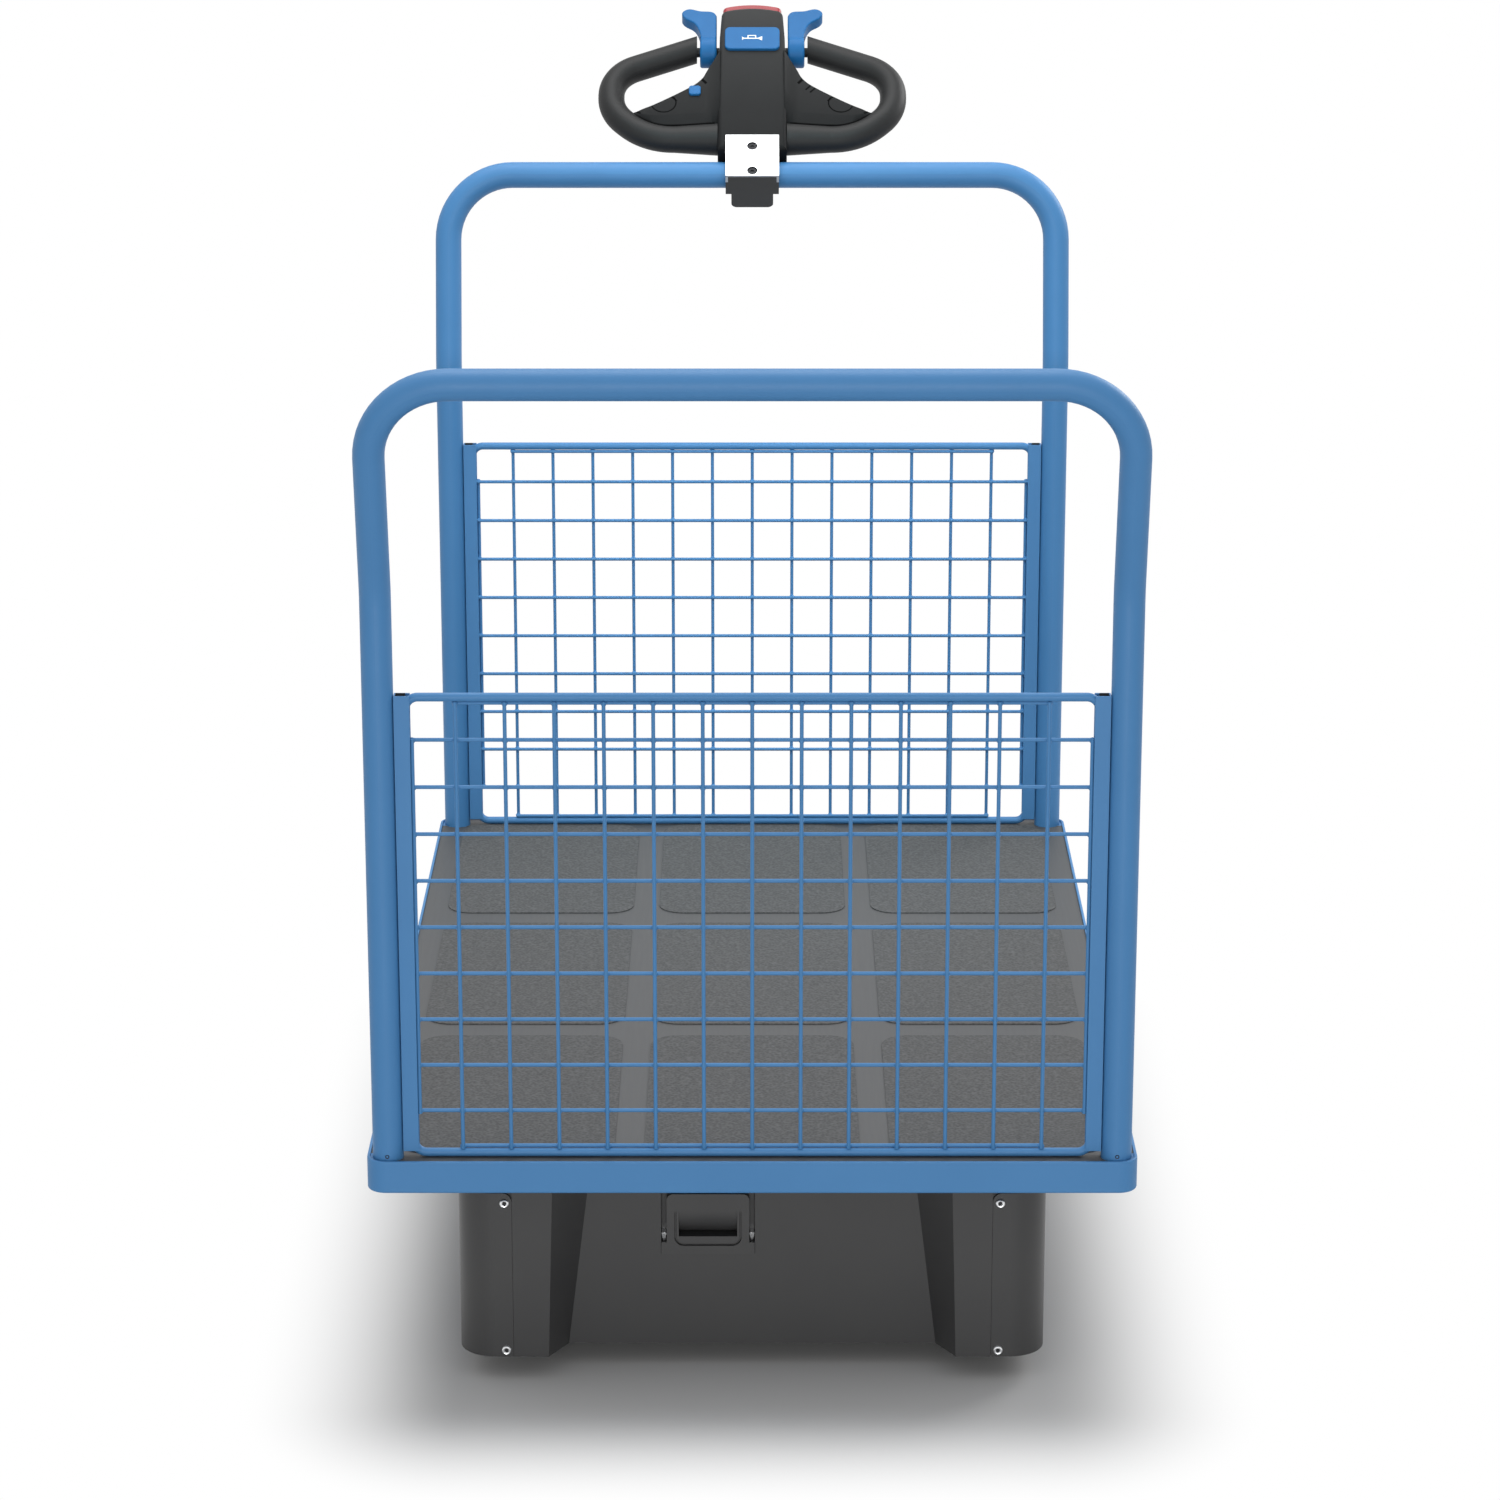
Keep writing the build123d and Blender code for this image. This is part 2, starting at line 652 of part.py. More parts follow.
# Swivel castors: a pressed fork under a ball race, trailing behind its king pin, with a bolt
# that carries the wheel
fork_outer = fork_gap / 2 + fork_wall
castor_hub_half = castor_hub_width / 2
for side, across in sides:
    place_y = across * castor_y
    leg_plane = Plane(origin=(castor_x, place_y, 0), x_dir=(1, 0, 0), z_dir=(0, -1, 0))
    with BuildPart() as fork:
        with BuildSketch(leg_plane.offset(-fork_outer)) as fork_side:
            with Locations((-castor_trail, wheel_radius)):
                Circle(fork_eye_radius)
            with Locations((-castor_trail / 4, fork_crown_top - fork_wall)):
                Rectangle(fork_crown_length, 2 * fork_wall)
            make_hull()
        extrude(amount=2 * fork_outer)
        crown_edges = fork.edges().filter_by(Axis.X).group_by(Axis.Z)[-1]
        fillet(crown_edges, radius=fork_wall - touch_gap)
        with BuildSketch(leg_plane.offset(-fork_gap / 2)):
            with Locations((0, fork_crown_bottom / 2)):
                Rectangle(2 * wheel_diameter, fork_crown_bottom)
        extrude(amount=fork_gap, mode=Mode.SUBTRACT)
        with BuildSketch(leg_plane):
            with Locations((-castor_trail, wheel_radius)):
                Circle(castor_axle_diameter / 2 + bearing_gap)
        extrude(amount=fork_outer, both=True, mode=Mode.SUBTRACT)
        with BuildSketch(Plane.XY.offset(fork_crown_top)):
            with Locations((castor_x, place_y)):
                Circle(castor_race_diameter / 2)
        extrude(amount=castor_race_height)
        with BuildSketch(Plane.XY.offset(fork_crown_top)):
            with Locations((castor_x, place_y)):
                Circle(kingpin_diameter / 2)
        extrude(amount=kingpin_top - fork_crown_top)
    fork.part.label = f"castor_fork_{side}"
    export_step(fork.part, f"parts/castor_fork_{side}.step")

    axle_plane = Plane(origin=(castor_wheel_x, place_y, wheel_radius), x_dir=(1, 0, 0), z_dir=(0, -1, 0))
    with BuildPart() as bolt:
        with BuildSketch(axle_plane.offset(-fork_outer)):
            Circle(castor_axle_diameter / 2)
        extrude(amount=2 * fork_outer)
        for face_place in (fork_outer, -fork_outer - axle_head_height):
            with BuildSketch(axle_plane.offset(face_place)):
                RegularPolygon(axle_head_diameter / 2, 6)
            extrude(amount=axle_head_height)
    bolt.part.label = f"castor_axle_{side}"
    export_step(bolt.part, f"parts/castor_axle_{side}.step")

    section_plane = Plane(origin=axle_plane.origin, x_dir=(0, -1, 0), z_dir=(1, 0, 0))
    wheel_axis = Axis(axle_plane.origin, (0, 1, 0))
    bore_radius = castor_axle_diameter / 2 + bearing_gap
    band_radius = rim_outer_radius - castor_rim_wall
    hub_radius = castor_hub_diameter / 2
    with BuildPart() as rim:
        with BuildSketch(section_plane):
            with BuildLine():
                Polyline(
                    (-castor_hub_half, bore_radius),
                    (-castor_hub_half, hub_radius - castor_rim_wall),
                    (-castor_web / 2, hub_radius),
                    (-castor_web / 2, band_radius),
                    (-tyre_half + castor_rim_wall / 2, band_radius),
                    (-tyre_half + castor_rim_wall / 2, rim_outer_radius),
                    (tyre_half - castor_rim_wall / 2, rim_outer_radius),
                    (tyre_half - castor_rim_wall / 2, band_radius),
                    (castor_web / 2, band_radius),
                    (castor_web / 2, hub_radius),
                    (castor_hub_half, hub_radius - castor_rim_wall),
                    (castor_hub_half, bore_radius),
                    close=True,
                )
            make_face()
        revolve(axis=wheel_axis)
        with BuildSketch(axle_plane):
            with PolarLocations((hub_radius + band_radius) / 2, castor_rib_count):
                Rectangle(band_radius - hub_radius + castor_rib, castor_rib)
        extrude(amount=tyre_half - castor_rim_wall, both=True)
    rim.part.label = f"castor_rim_{side}"
    export_step(rim.part, f"parts/castor_rim_{side}.step")

    with BuildPart() as tyre:
        with BuildSketch(section_plane):
            with BuildLine():
                Polyline(
                    (-tyre_half, rim_outer_radius),
                    (-tyre_half, wheel_radius - tyre_bevel),
                    (-tyre_half + tyre_bevel, wheel_radius),
                    (tyre_half - tyre_bevel, wheel_radius),
                    (tyre_half, wheel_radius - tyre_bevel),
                    (tyre_half, rim_outer_radius),
                    close=True,
                )
            make_face()
        revolve(axis=wheel_axis)
    tyre.part.label = f"castor_tyre_{side}"
    export_step(tyre.part, f"parts/castor_tyre_{side}.step")

# Control head: its plane leans back over the rear bow's top tube, with local x across the
# cart, local y along the head towards the operator and local z out of its upper face
top_tube = (deck_x - leg_offset - lean_reach, 0, bow_top_z)
head_plane = Plane(origin=top_tube, x_dir=(0, 1, 0), z_dir=(head_sin, 0, head_cos))
neck = head_plane.from_local_coords((0, -clamp_below, 0))
neck_plane = Plane(origin=neck, x_dir=(0, 1, 0), z_dir=head_plane.y_dir)
head_normal = Axis(top_tube, head_plane.z_dir)
clamp_length = clamp_below + clamp_above
clamp_half = clamp_depth / 2
bracket_inner = clamp_width + 2 * seat_gap
bracket_width_outer = bracket_inner + 2 * bracket_sheet
plate_under = clamp_half + seat_gap
shoulder_top = bracket_flange - plate_under - bracket_sheet + seat_gap
clamp_foot_depth = clamp_half - shoulder_top - clamp_shoulder_depth

# Head clamp: the block round the tube, bored across for it, with shoulders that carry the
# saddle's flanges and a narrower foot
with BuildPart() as head_clamp:
    with BuildSketch(neck_plane) as clamp_profile:
        Rectangle(clamp_width, clamp_depth)
        with Locations((0, clamp_half)):
            Rectangle(clamp_width, clamp_foot_depth, align=(Align.CENTER, Align.MAX), mode=Mode.SUBTRACT)
            Rectangle(clamp_foot_width, clamp_foot_depth, align=(Align.CENTER, Align.MAX))
        fillet(clamp_profile.vertices().group_by(Axis.Y)[-1], radius=clamp_corner_radius)
        with Locations((0, shoulder_top)):
            Rectangle(bracket_width_outer, clamp_shoulder_depth, align=(Align.CENTER, Align.MIN))
    extrude(amount=clamp_length)
    with BuildSketch(Plane.XZ):
        with Locations((top_tube[0], bow_top_z)):
            Circle(tube_radius + seat_gap)
    extrude(amount=clamp_width, both=True, mode=Mode.SUBTRACT)
head_clamp.part.label = "head_clamp"
export_step(head_clamp.part, "parts/head_clamp.step")

# Head bracket: a zinc plated saddle of folded sheet on the block's shoulders
with BuildPart() as head_bracket:
    with BuildSketch(neck_plane):
        with Locations((0, -plate_under - bracket_sheet + bracket_flange / 2)):
            Rectangle(bracket_width_outer, bracket_flange)
        with Locations((0, -plate_under + bracket_flange / 2)):
            Rectangle(bracket_inner, bracket_flange, mode=Mode.SUBTRACT)
    extrude(amount=clamp_length)
    with BuildSketch(head_plane.offset(plate_under)):
        with GridLocations(1, bracket_hole_spacing, 1, 2):
            Circle(bracket_hole / 2)
    extrude(amount=bracket_sheet, mode=Mode.SUBTRACT)
head_bracket.part.label = "head_bracket"
export_step(head_bracket.part, "parts/head_bracket.step")

# Head body: a moulded column over the clamp, with wings that fill the foot of both loops
loop_radius = loop_diameter / 2
loop_plane = head_plane.offset(loop_level)
nose_corner = head_end - head_end_arch
loop_corners = (
    # across, along, bend radius of the loop's centre line
    (loop_half_width, 156, 48),
    (loop_half_width, 96, 55),
    (132, 51, 80),
)
loop_start = (62, 204.1)
loop_end_face = 70
loop_end = (head_width_neck / 2 + seat_gap, 51)
root_axis = Axis(loop_plane.from_local_coords(loop_end), (0, 1, 0))
root_outline = (
    # across, along: the loop thickens over its last straight run to the column
    loop_end,
    (loop_end[0], loop_end[1] + loop_root_diameter / 2),
    (loop_root_reach, loop_end[1] + loop_radius - seat_gap),
    (loop_root_reach, loop_end[1]),
)
wing_edge = (
    # across, along, from the loop to the column
    (150, 85),
    (124, 97),
    (80, 125),
    (64, 140),
    (56, 156),
    (head_width_middle / 2, 182),
)
wing_foot = ((head_width_nose / 2, 182), (head_width_nose / 2, 51), (141, 58))
with BuildPart() as head_body:
    with BuildSketch(head_plane.offset(-head_depth_below)) as column:
        with BuildLine():
            nose_left, nose_right = (head_width_nose / 2, nose_corner), (-head_width_nose / 2, nose_corner)
            ThreePointArc(nose_left, (0, head_end), nose_right)
            Polyline(
                nose_right,
                (-head_width_middle / 2, head_middle),
                (-head_width_neck / 2, head_middle / 2),
                (-head_width_neck / 2, head_start),
                (head_width_neck / 2, head_start),
                (head_width_neck / 2, head_middle / 2),
                (head_width_middle / 2, head_middle),
                nose_left,
            )
        make_face()
        fillet(column.vertices().group_by(Axis.Y)[-1], radius=head_corner_radius)
    extrude(amount=head_depth_above + head_depth_below)
    flat_faces = head_body.faces().filter_by(head_plane).sort_by(head_normal)
    fillet(flat_faces[0].edges() + flat_faces[-1].edges(), radius=head_edge_radius)
    with BuildSketch(loop_plane.offset(-wing_thickness / 2)):
        with BuildLine():
            Spline(*wing_edge)
            Polyline(wing_edge[-1], *wing_foot, wing_edge[0])
        make_face()
        mirror(about=Plane.YZ)
    extrude(amount=wing_thickness)
    with BuildSketch(head_plane.offset(-head_depth_below)):
        with Locations((0, (clamp_above + seat_gap) / 2)):
            Rectangle(bracket_width_outer + 2 * seat_gap, clamp_above + seat_gap)
    extrude(amount=2 * head_depth_above + head_depth_below, mode=Mode.SUBTRACT)
    for across in (1, -1):
        with BuildLine(loop_plane) as loop_path:
            FilletPolyline(
                (across * loop_start[0], loop_start[1]),
                *[(across * corner[0], corner[1]) for corner in loop_corners],
                (across * loop_end[0], loop_end[1]),
                radius=[corner[2] for corner in loop_corners],
            )
        with BuildSketch(Plane(origin=loop_path.line @ 0, z_dir=loop_path.line % 0)):
            Circle(loop_radius + seat_gap)
        sweep(path=loop_path.line, mode=Mode.SUBTRACT)
    for across in (1, -1):
        with BuildSketch(loop_plane):
            Polygon(*[
                (across * point[0], point[1] + (seat_gap if point[1] > loop_end[1] else 0))
                for point in root_outline
            ], align=None)
        revolve(axis=root_axis, mode=Mode.SUBTRACT)
head_body.part.label = "head_body"
export_step(head_body.part, "parts/head_body.step")

# Head grips: a loop of covered tube at each side, its free end held by the lever pin
pin_plane = Plane(
    origin=head_plane.from_local_coords((head_width_middle / 2 + 2 * seat_gap, lever_axis, loop_level)),
    x_dir=head_plane.z_dir,
    z_dir=(0, 1, 0),
)
with BuildPart() as head_grips:
    with BuildLine(loop_plane) as loop_path:
        FilletPolyline(
            loop_start,
            *[(corner[0], corner[1]) for corner in loop_corners],
            loop_end,
            radius=[corner[2] for corner in loop_corners],
        )
    with BuildSketch(Plane(origin=loop_path.line @ 0, z_dir=loop_path.line % 0)):
        Circle(loop_radius)
    sweep(path=loop_path.line)
    split(bisect_by=Plane(origin=(0, loop_end_face, 0), x_dir=(1, 0, 0), z_dir=(0, 1, 0)), keep=Keep.TOP)
    with BuildSketch(pin_plane):
        Circle(lever_pin_diameter / 2)
    extrude(amount=loop_end_face + loop_radius - head_width_middle / 2)
    with BuildSketch(loop_plane):
        Polygon(*root_outline, align=None)
    revolve(axis=root_axis)
    mirror(about=Plane.XZ)
head_grips.part.label = "head_grips"
export_step(head_grips.part, "parts/head_grips.step")

# Thumb levers: a hub on the pin and a paddle that reaches out above the grip
lever_outer_y = lever_inner_y + lever_hub_width
paddle_edge = (
    # across, along, from the column round the tip to the hub
    (lever_inner_y, 244),
    (50, 251),
    (66, 253),
    (82, 256),
    (89, 250),
    (85, 240),
    (75, 233),
    (68, 221),
    (lever_outer_y, lever_axis),
)
with BuildPart() as thumb_levers:
    with BuildSketch(pin_plane.offset(lever_inner_y - head_width_middle / 2 - 2 * seat_gap)):
        Circle(lever_hub_diameter / 2)
    extrude(amount=lever_hub_width)
    fillet(thumb_levers.edges(), radius=lever_hub_edge)
    with BuildSketch(loop_plane):
        with BuildLine():
            Spline(*paddle_edge)
            Polyline(paddle_edge[-1], (lever_inner_y, lever_axis), paddle_edge[0])
        make_face()
    extrude(amount=lever_thickness)
    paddle_face = thumb_levers.faces().filter_by(head_plane).sort_by(head_normal)[-1]
    fillet(paddle_face.edges(), radius=lever_edge_radius)
    with BuildSketch(pin_plane):
        Circle(lever_pin_diameter / 2 + seat_gap)
    extrude(amount=2 * lever_hub_width, mode=Mode.SUBTRACT)
    mirror(about=Plane.XZ)
thumb_levers.part.label = "thumb_levers"
export_step(thumb_levers.part, "parts/thumb_levers.step")

# Horn button: a blue push pad on the upper face of the head
with BuildPart() as horn_button:
    with BuildSketch(head_plane.offset(head_depth_above)):
        with Locations((0, horn_centre)):
            RectangleRounded(horn_width, horn_length, horn_radius)
    extrude(amount=horn_height)
    fillet(horn_button.faces().sort_by(head_normal)[-1].edges(), radius=control_edge_radius)
horn_button.part.label = "horn_button"
export_step(horn_button.part, "parts/horn_button.step")

# Reverse switch: the red safety cap across the arched end of the head
nose = head_plane.from_local_coords((0, nose_corner, switch_level))
switch_plane = Plane(origin=nose, x_dir=(0, 1, 0), z_dir=head_plane.y_dir)
with BuildPart() as reverse_switch:
    with BuildSketch(switch_plane):
        RectangleRounded(switch_width, switch_depth, switch_corner_radius)
    extrude(amount=head_end_arch + switch_length)
    with BuildSketch(head_plane.offset(switch_bottom)):
        with BuildLine():
            cap_arc = ThreePointArc(
                (head_width_nose / 2, nose_corner + switch_length),
                (0, head_end + switch_length),
                (-head_width_nose / 2, nose_corner + switch_length),
            )
            nose_arc = ThreePointArc(nose_right, (0, head_end), nose_left)
            Line(cap_arc @ 1, nose_arc @ 0)
            Line(nose_arc @ 1, cap_arc @ 0)
        make_face()
    extrude(amount=switch_depth, mode=Mode.INTERSECT)
    outer_face = reverse_switch.faces().sort_by(Axis(top_tube, head_plane.y_dir))[-1]
    fillet(outer_face.edges(), radius=switch_edge_radius)
reverse_switch.part.label = "reverse_switch"
export_step(reverse_switch.part, "parts/reverse_switch.step")

# Speed toggle: a small blue knob on one wing
with BuildPart() as speed_toggle:
    with BuildSketch(loop_plane.offset(wing_thickness / 2)):
        with Locations((toggle_y, toggle_place)):
            RectangleRounded(toggle_size, toggle_size, toggle_size / 4)
    extrude(amount=toggle_height)
    fillet(speed_toggle.faces().sort_by(head_normal)[-1].edges(), radius=control_edge_radius)
speed_toggle.part.label = "speed_toggle"
export_step(speed_toggle.part, "parts/speed_toggle.step")
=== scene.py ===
import json
import math

import bmesh
import bpy
from mathutils import Matrix, Vector

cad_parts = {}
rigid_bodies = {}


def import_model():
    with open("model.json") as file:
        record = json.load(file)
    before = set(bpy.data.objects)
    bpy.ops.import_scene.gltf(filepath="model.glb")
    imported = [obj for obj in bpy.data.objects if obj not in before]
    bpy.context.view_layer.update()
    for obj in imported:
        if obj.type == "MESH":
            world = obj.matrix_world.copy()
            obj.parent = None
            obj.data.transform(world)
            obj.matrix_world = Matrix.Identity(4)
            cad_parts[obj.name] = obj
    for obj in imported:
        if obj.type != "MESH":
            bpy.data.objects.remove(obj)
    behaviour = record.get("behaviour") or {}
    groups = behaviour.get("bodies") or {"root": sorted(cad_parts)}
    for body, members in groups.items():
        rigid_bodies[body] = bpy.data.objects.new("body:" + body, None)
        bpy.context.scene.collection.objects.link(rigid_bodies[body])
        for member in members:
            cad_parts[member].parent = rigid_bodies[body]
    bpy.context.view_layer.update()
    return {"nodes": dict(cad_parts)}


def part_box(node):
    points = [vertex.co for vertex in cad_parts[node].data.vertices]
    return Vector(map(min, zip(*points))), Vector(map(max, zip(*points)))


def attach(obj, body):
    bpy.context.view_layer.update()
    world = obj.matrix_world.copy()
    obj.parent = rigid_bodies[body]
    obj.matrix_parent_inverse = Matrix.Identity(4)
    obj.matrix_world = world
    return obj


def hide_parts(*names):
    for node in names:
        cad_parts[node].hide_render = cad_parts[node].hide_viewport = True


for leftover in list(bpy.data.objects):
    bpy.data.objects.remove(leftover)
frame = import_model()
nodes = frame["nodes"]

# Deck frame, cross members and corner blocks: folded and welded sheet steel in blue powder coat.
# The coat is baked on, so it is even, with a fine orange peel and a soft sheen.


class Socket:
    """A socket of a node tree in an expression. Operators add Math nodes, and node() any other."""

    def __init__(self, tree, source=None):
        self.tree, self.source = tree, source

    def node(self, kind, settings=None, sockets=None, output=0):
        """Adds a node. Each of its sockets takes a plain value, a Socket or a list of Sockets."""
        made = self.tree.nodes.new(kind)
        for setting, value in (settings or {}).items():
            setattr(made, setting, value)
        for name, value in (sockets or {}).items():
            for part in value if isinstance(value, list) else [value]:
                if isinstance(part, Socket):
                    self.tree.links.new(part.source, made.inputs[name])
                else:
                    made.inputs[name].default_value = part
        return Socket(self.tree, made.outputs[output]) if len(made.outputs) else None

    def math(self, operation, first, second):
        return self.node("ShaderNodeMath", {"operation": operation}, {0: first, 1: second})

    def __add__(self, other):
        return self.math("ADD", self, other)

    def __sub__(self, other):
        return self.math("SUBTRACT", self, other)

    def __rsub__(self, other):
        return self.math("SUBTRACT", other, self)

    def __mul__(self, other):
        return self.math("MULTIPLY", self, other)

    __radd__, __rmul__ = __add__, __mul__


def colour(red, green, blue):
    """A linear colour from the 0 to 255 values that a picture shows."""
    parts = [part / 255 for part in (red, green, blue)]
    return (*[((part + 0.055) / 1.055) ** 2.4 if part > 0.04 else part / 12.92 for part in parts], 1)


def start_finish(name):
    """A new material with its surface shader, and the coordinates that its patterns follow."""
    material = bpy.data.materials.new(name)
    material.use_nodes = True
    surface = material.node_tree.nodes["Principled BSDF"]
    return material, surface, Socket(material.node_tree).node("ShaderNodeTexCoord", output="Object")


def noise(coords, scale, detail=2):
    return coords.node("ShaderNodeTexNoise", None, {"Vector": coords, "Scale": scale, "Detail": detail})


def mix(mask, first, second):
    """One colour where the mask is 0 and another where it is 1."""
    return mask.node("ShaderNodeMix", {"data_type": "RGBA"}, {0: mask, 6: first, 7: second}, output=2)


def feed(surface, socket, value):
    value.tree.links.new(value.source, surface.inputs[socket])


def roughen(surface, height, strength, depth):
    """Bump from a height, with its depth in metres."""
    bump = {"Strength": strength, "Distance": depth, "Height": height}
    feed(surface, "Normal", height.node("ShaderNodeBump", None, bump))


def coat_nodes(material, *names):
    for name in names:
        nodes[name].data.materials.clear()
        nodes[name].data.materials.append(material)


blue_paint, surface, coords = start_finish("blue_powder_coat")
cloud, peel = noise(coords, 9, 3), noise(coords, 900, 1)
feed(surface, "Base Color", mix(cloud, colour(66, 122, 173), colour(72, 129, 181)))
feed(surface, "Roughness", 0.42 + 0.12 * noise(coords, 140))
surface.inputs["Specular IOR Level"].default_value = 0.35
roughen(surface, peel, 0.12, 0.0003)
coat_nodes(blue_paint, "deck_frame", "cross_members", "corner_blocks")

# Deck board and its nine anti-slip fields: film-faced board with a faint grain along its length,
# and on it fields of grit in resin, rolled on through a mask.
board_finish, surface, coords = start_finish("grey_deck_board")
along = coords.node("ShaderNodeMapping", None, {"Vector": coords, "Scale": (1.2, 26, 26)})
streaks, specks = noise(along, 9, 4), noise(coords, 1300, 1)
feed(surface, "Base Color", mix(streaks * 0.6 + specks * 0.4, colour(64, 65, 66), colour(80, 81, 82)))
feed(surface, "Roughness", 0.45 + 0.2 * streaks)
roughen(surface, streaks + specks, 0.08, 0.0003)
coat_nodes(board_finish, "deck_panel")

grit_finish, surface, coords = start_finish("anti_slip_grit")
grains = coords.node("ShaderNodeTexVoronoi", None, {"Vector": coords, "Scale": 300})
clumps = noise(coords, 120, 3)
feed(surface, "Base Color", mix(grains * 0.8 + clumps * 0.5, colour(39, 40, 41), colour(87, 88, 89)))
surface.inputs["Roughness"].default_value = 0.85
roughen(surface, grains + clumps, 0.5, 0.0008)
coat_nodes(grit_finish, "deck_pads")

# End bows and wire panels: bent steel tube, rod frames and welded wire, all in the deck's blue.
# Each leg is held by a small set screw at its foot, and black blocks in the channels' tops are painted
# shade for their hollows.
ends = ("front", "rear")
for end in ends:
    coat_nodes(blue_paint, f"{end}_bow", f"{end}_panel_frame", f"{end}_panel_uprights")
    coat_nodes(blue_paint, f"{end}_panel_rails", f"{end}_panel_channels")
sharp_edge = math.radians(38)


def mesh_object(name, build):
    """A new object whose mesh is filled by build(bm), smooth but for its sharp edges."""
    bm = bmesh.new()
    build(bm)
    bmesh.ops.recalc_face_normals(bm, faces=bm.faces)
    mesh = bpy.data.meshes.new(name)
    bm.to_mesh(mesh)
    bm.free()
    mesh.shade_smooth()
    mesh.set_sharp_from_angle(angle=sharp_edge)
    made = bpy.data.objects.new(name, mesh)
    bpy.context.scene.collection.objects.link(made)
    return made


def skin(bm, rows, closed_ends=True):
    """Faces between rows of points, each row closed in a ring, and over the first and last row."""
    for first, second in zip(rows, rows[1:]):
        for step in range(len(first)):
            after = (step + 1) % len(first)
            corners = (first[step], first[after], second[after], second[step])
            bm.faces.new(list(dict.fromkeys(corners)))
    if closed_ends:
        bm.faces.new(rows[0])
        bm.faces.new(rows[-1][::-1])


def turn(bm, profile, steps):
    """Turns a profile of (radius, height) about Z. A radius of 0 closes the shape."""
    angles = [2 * math.pi * step / steps for step in range(steps)]
    rings = []
    for radius, height in profile:
        if radius == 0:
            rings.append([bm.verts.new((0, 0, height))] * steps)
        else:
            ring = [(radius * math.cos(angle), radius * math.sin(angle), height) for angle in angles]
            rings.append([bm.verts.new(point) for point in ring])
    skin(bm, rings, closed_ends=False)


def turned(name, profile, steps=24):
    return mesh_object(name, lambda bm: turn(bm, profile, steps))


def new_tree(name, inputs, output):
    """A Geometry Nodes tree: its first Socket, its inputs as Sockets, and their identifiers."""
    tree = bpy.data.node_groups.new(name, "GeometryNodeTree")
    tree.is_modifier = True
    identifiers = {}
    for label, kind in inputs.items():
        made = tree.interface.new_socket(label, in_out="INPUT", socket_type=f"NodeSocket{kind}")
        identifiers[label] = made.identifier
    tree.interface.new_socket(output, in_out="OUTPUT", socket_type="NodeSocketGeometry")
    start = Socket(tree)
    return start, {label: start.node("NodeGroupInput", output=label) for label in inputs}, identifiers


def settle(piece, tree, identifiers, values):
    """Runs a Geometry Nodes tree on a piece and keeps what it makes as the piece's plain mesh."""
    modifier = piece.modifiers.new(tree.name, "NODES")
    modifier.node_group = tree
    for label, value in values.items():
        modifier[identifiers[label]] = value
    evaluated = piece.evaluated_get(bpy.context.evaluated_depsgraph_get())
    made = bpy.data.meshes.new_from_object(evaluated)
    piece.modifiers.remove(modifier)
    piece.data = made


spread, given, spread_inputs = new_tree(
    "parts_on_places", {"Places": "Geometry", "Part": "Object", "Finish": "Material"}, "Parts",
)
facing = spread.node(
    "GeometryNodeInputNamedAttribute", {"data_type": "FLOAT_VECTOR"}, {"Name": "facing"},
    output="Attribute",
)
turn_to = spread.node("FunctionNodeAlignRotationToVector", {"axis": "Z"}, {"Vector": facing})
part_shape = spread.node("GeometryNodeObjectInfo", None, {"Object": given["Part"]}, output="Geometry")
copies = spread.node("GeometryNodeInstanceOnPoints", None, {
    "Points": given["Places"], "Instance": part_shape, "Rotation": turn_to,
})
realized = spread.node("GeometryNodeRealizeInstances", None, {"Geometry": copies})
coated = spread.node("GeometryNodeSetMaterial", None, {
    "Geometry": realized, "Material": given["Finish"],
})
spread.node("NodeGroupOutput", None, {"Parts": coated})


def set_on(name, part, places, finish, body):
    """Copies of a part on places of (point, the way its top faces), as one piece of that body."""
    piece = mesh_object(name, lambda bm: [bm.verts.new(point) for point, way in places])
    ways = piece.data.attributes.new("facing", "FLOAT_VECTOR", "POINT")
    for item, (point, way) in zip(ways.data, places):
        item.vector = way
    settle(piece, spread.tree, spread_inputs, {"Part": part, "Finish": finish})
    bpy.data.objects.remove(part)
    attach(piece, body)


wire_pitch, wire_radius, weld_places = 0.05, 0.002, []
for end in ends:
    low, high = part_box(f"{end}_panel_uprights")
    rail_low, rail_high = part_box(f"{end}_panel_rails")
    weld_x = (low.x + high.x + rail_low.x + rail_high.x) / 4
    middle_z, edge_y = (low.z + high.z) / 2, high.y - wire_radius
    edge_zs = (rail_low.z + wire_radius, rail_high.z - wire_radius)
    upright_ys = [step * wire_pitch for step in range(-6, 7)]
    rail_zs = [middle_z + step * wire_pitch for step in range(-4, 5)]
    crossings = [(y, z) for y in (-edge_y, *upright_ys, edge_y) for z in rail_zs]
    crossings += [(y, z) for z in edge_zs for y in upright_ys]
    weld_places += [((weld_x, y, z), (1, 0, 0)) for y, z in crossings]
weld_profile = [(0, -0.0024), (0.0024, -0.0016), (0.0034, 0), (0.0024, 0.0016), (0, 0.0024)]
weld_nugget = turned("weld_nugget", weld_profile, 10)
set_on("wire_welds", weld_nugget, weld_places, blue_paint, "chassis")

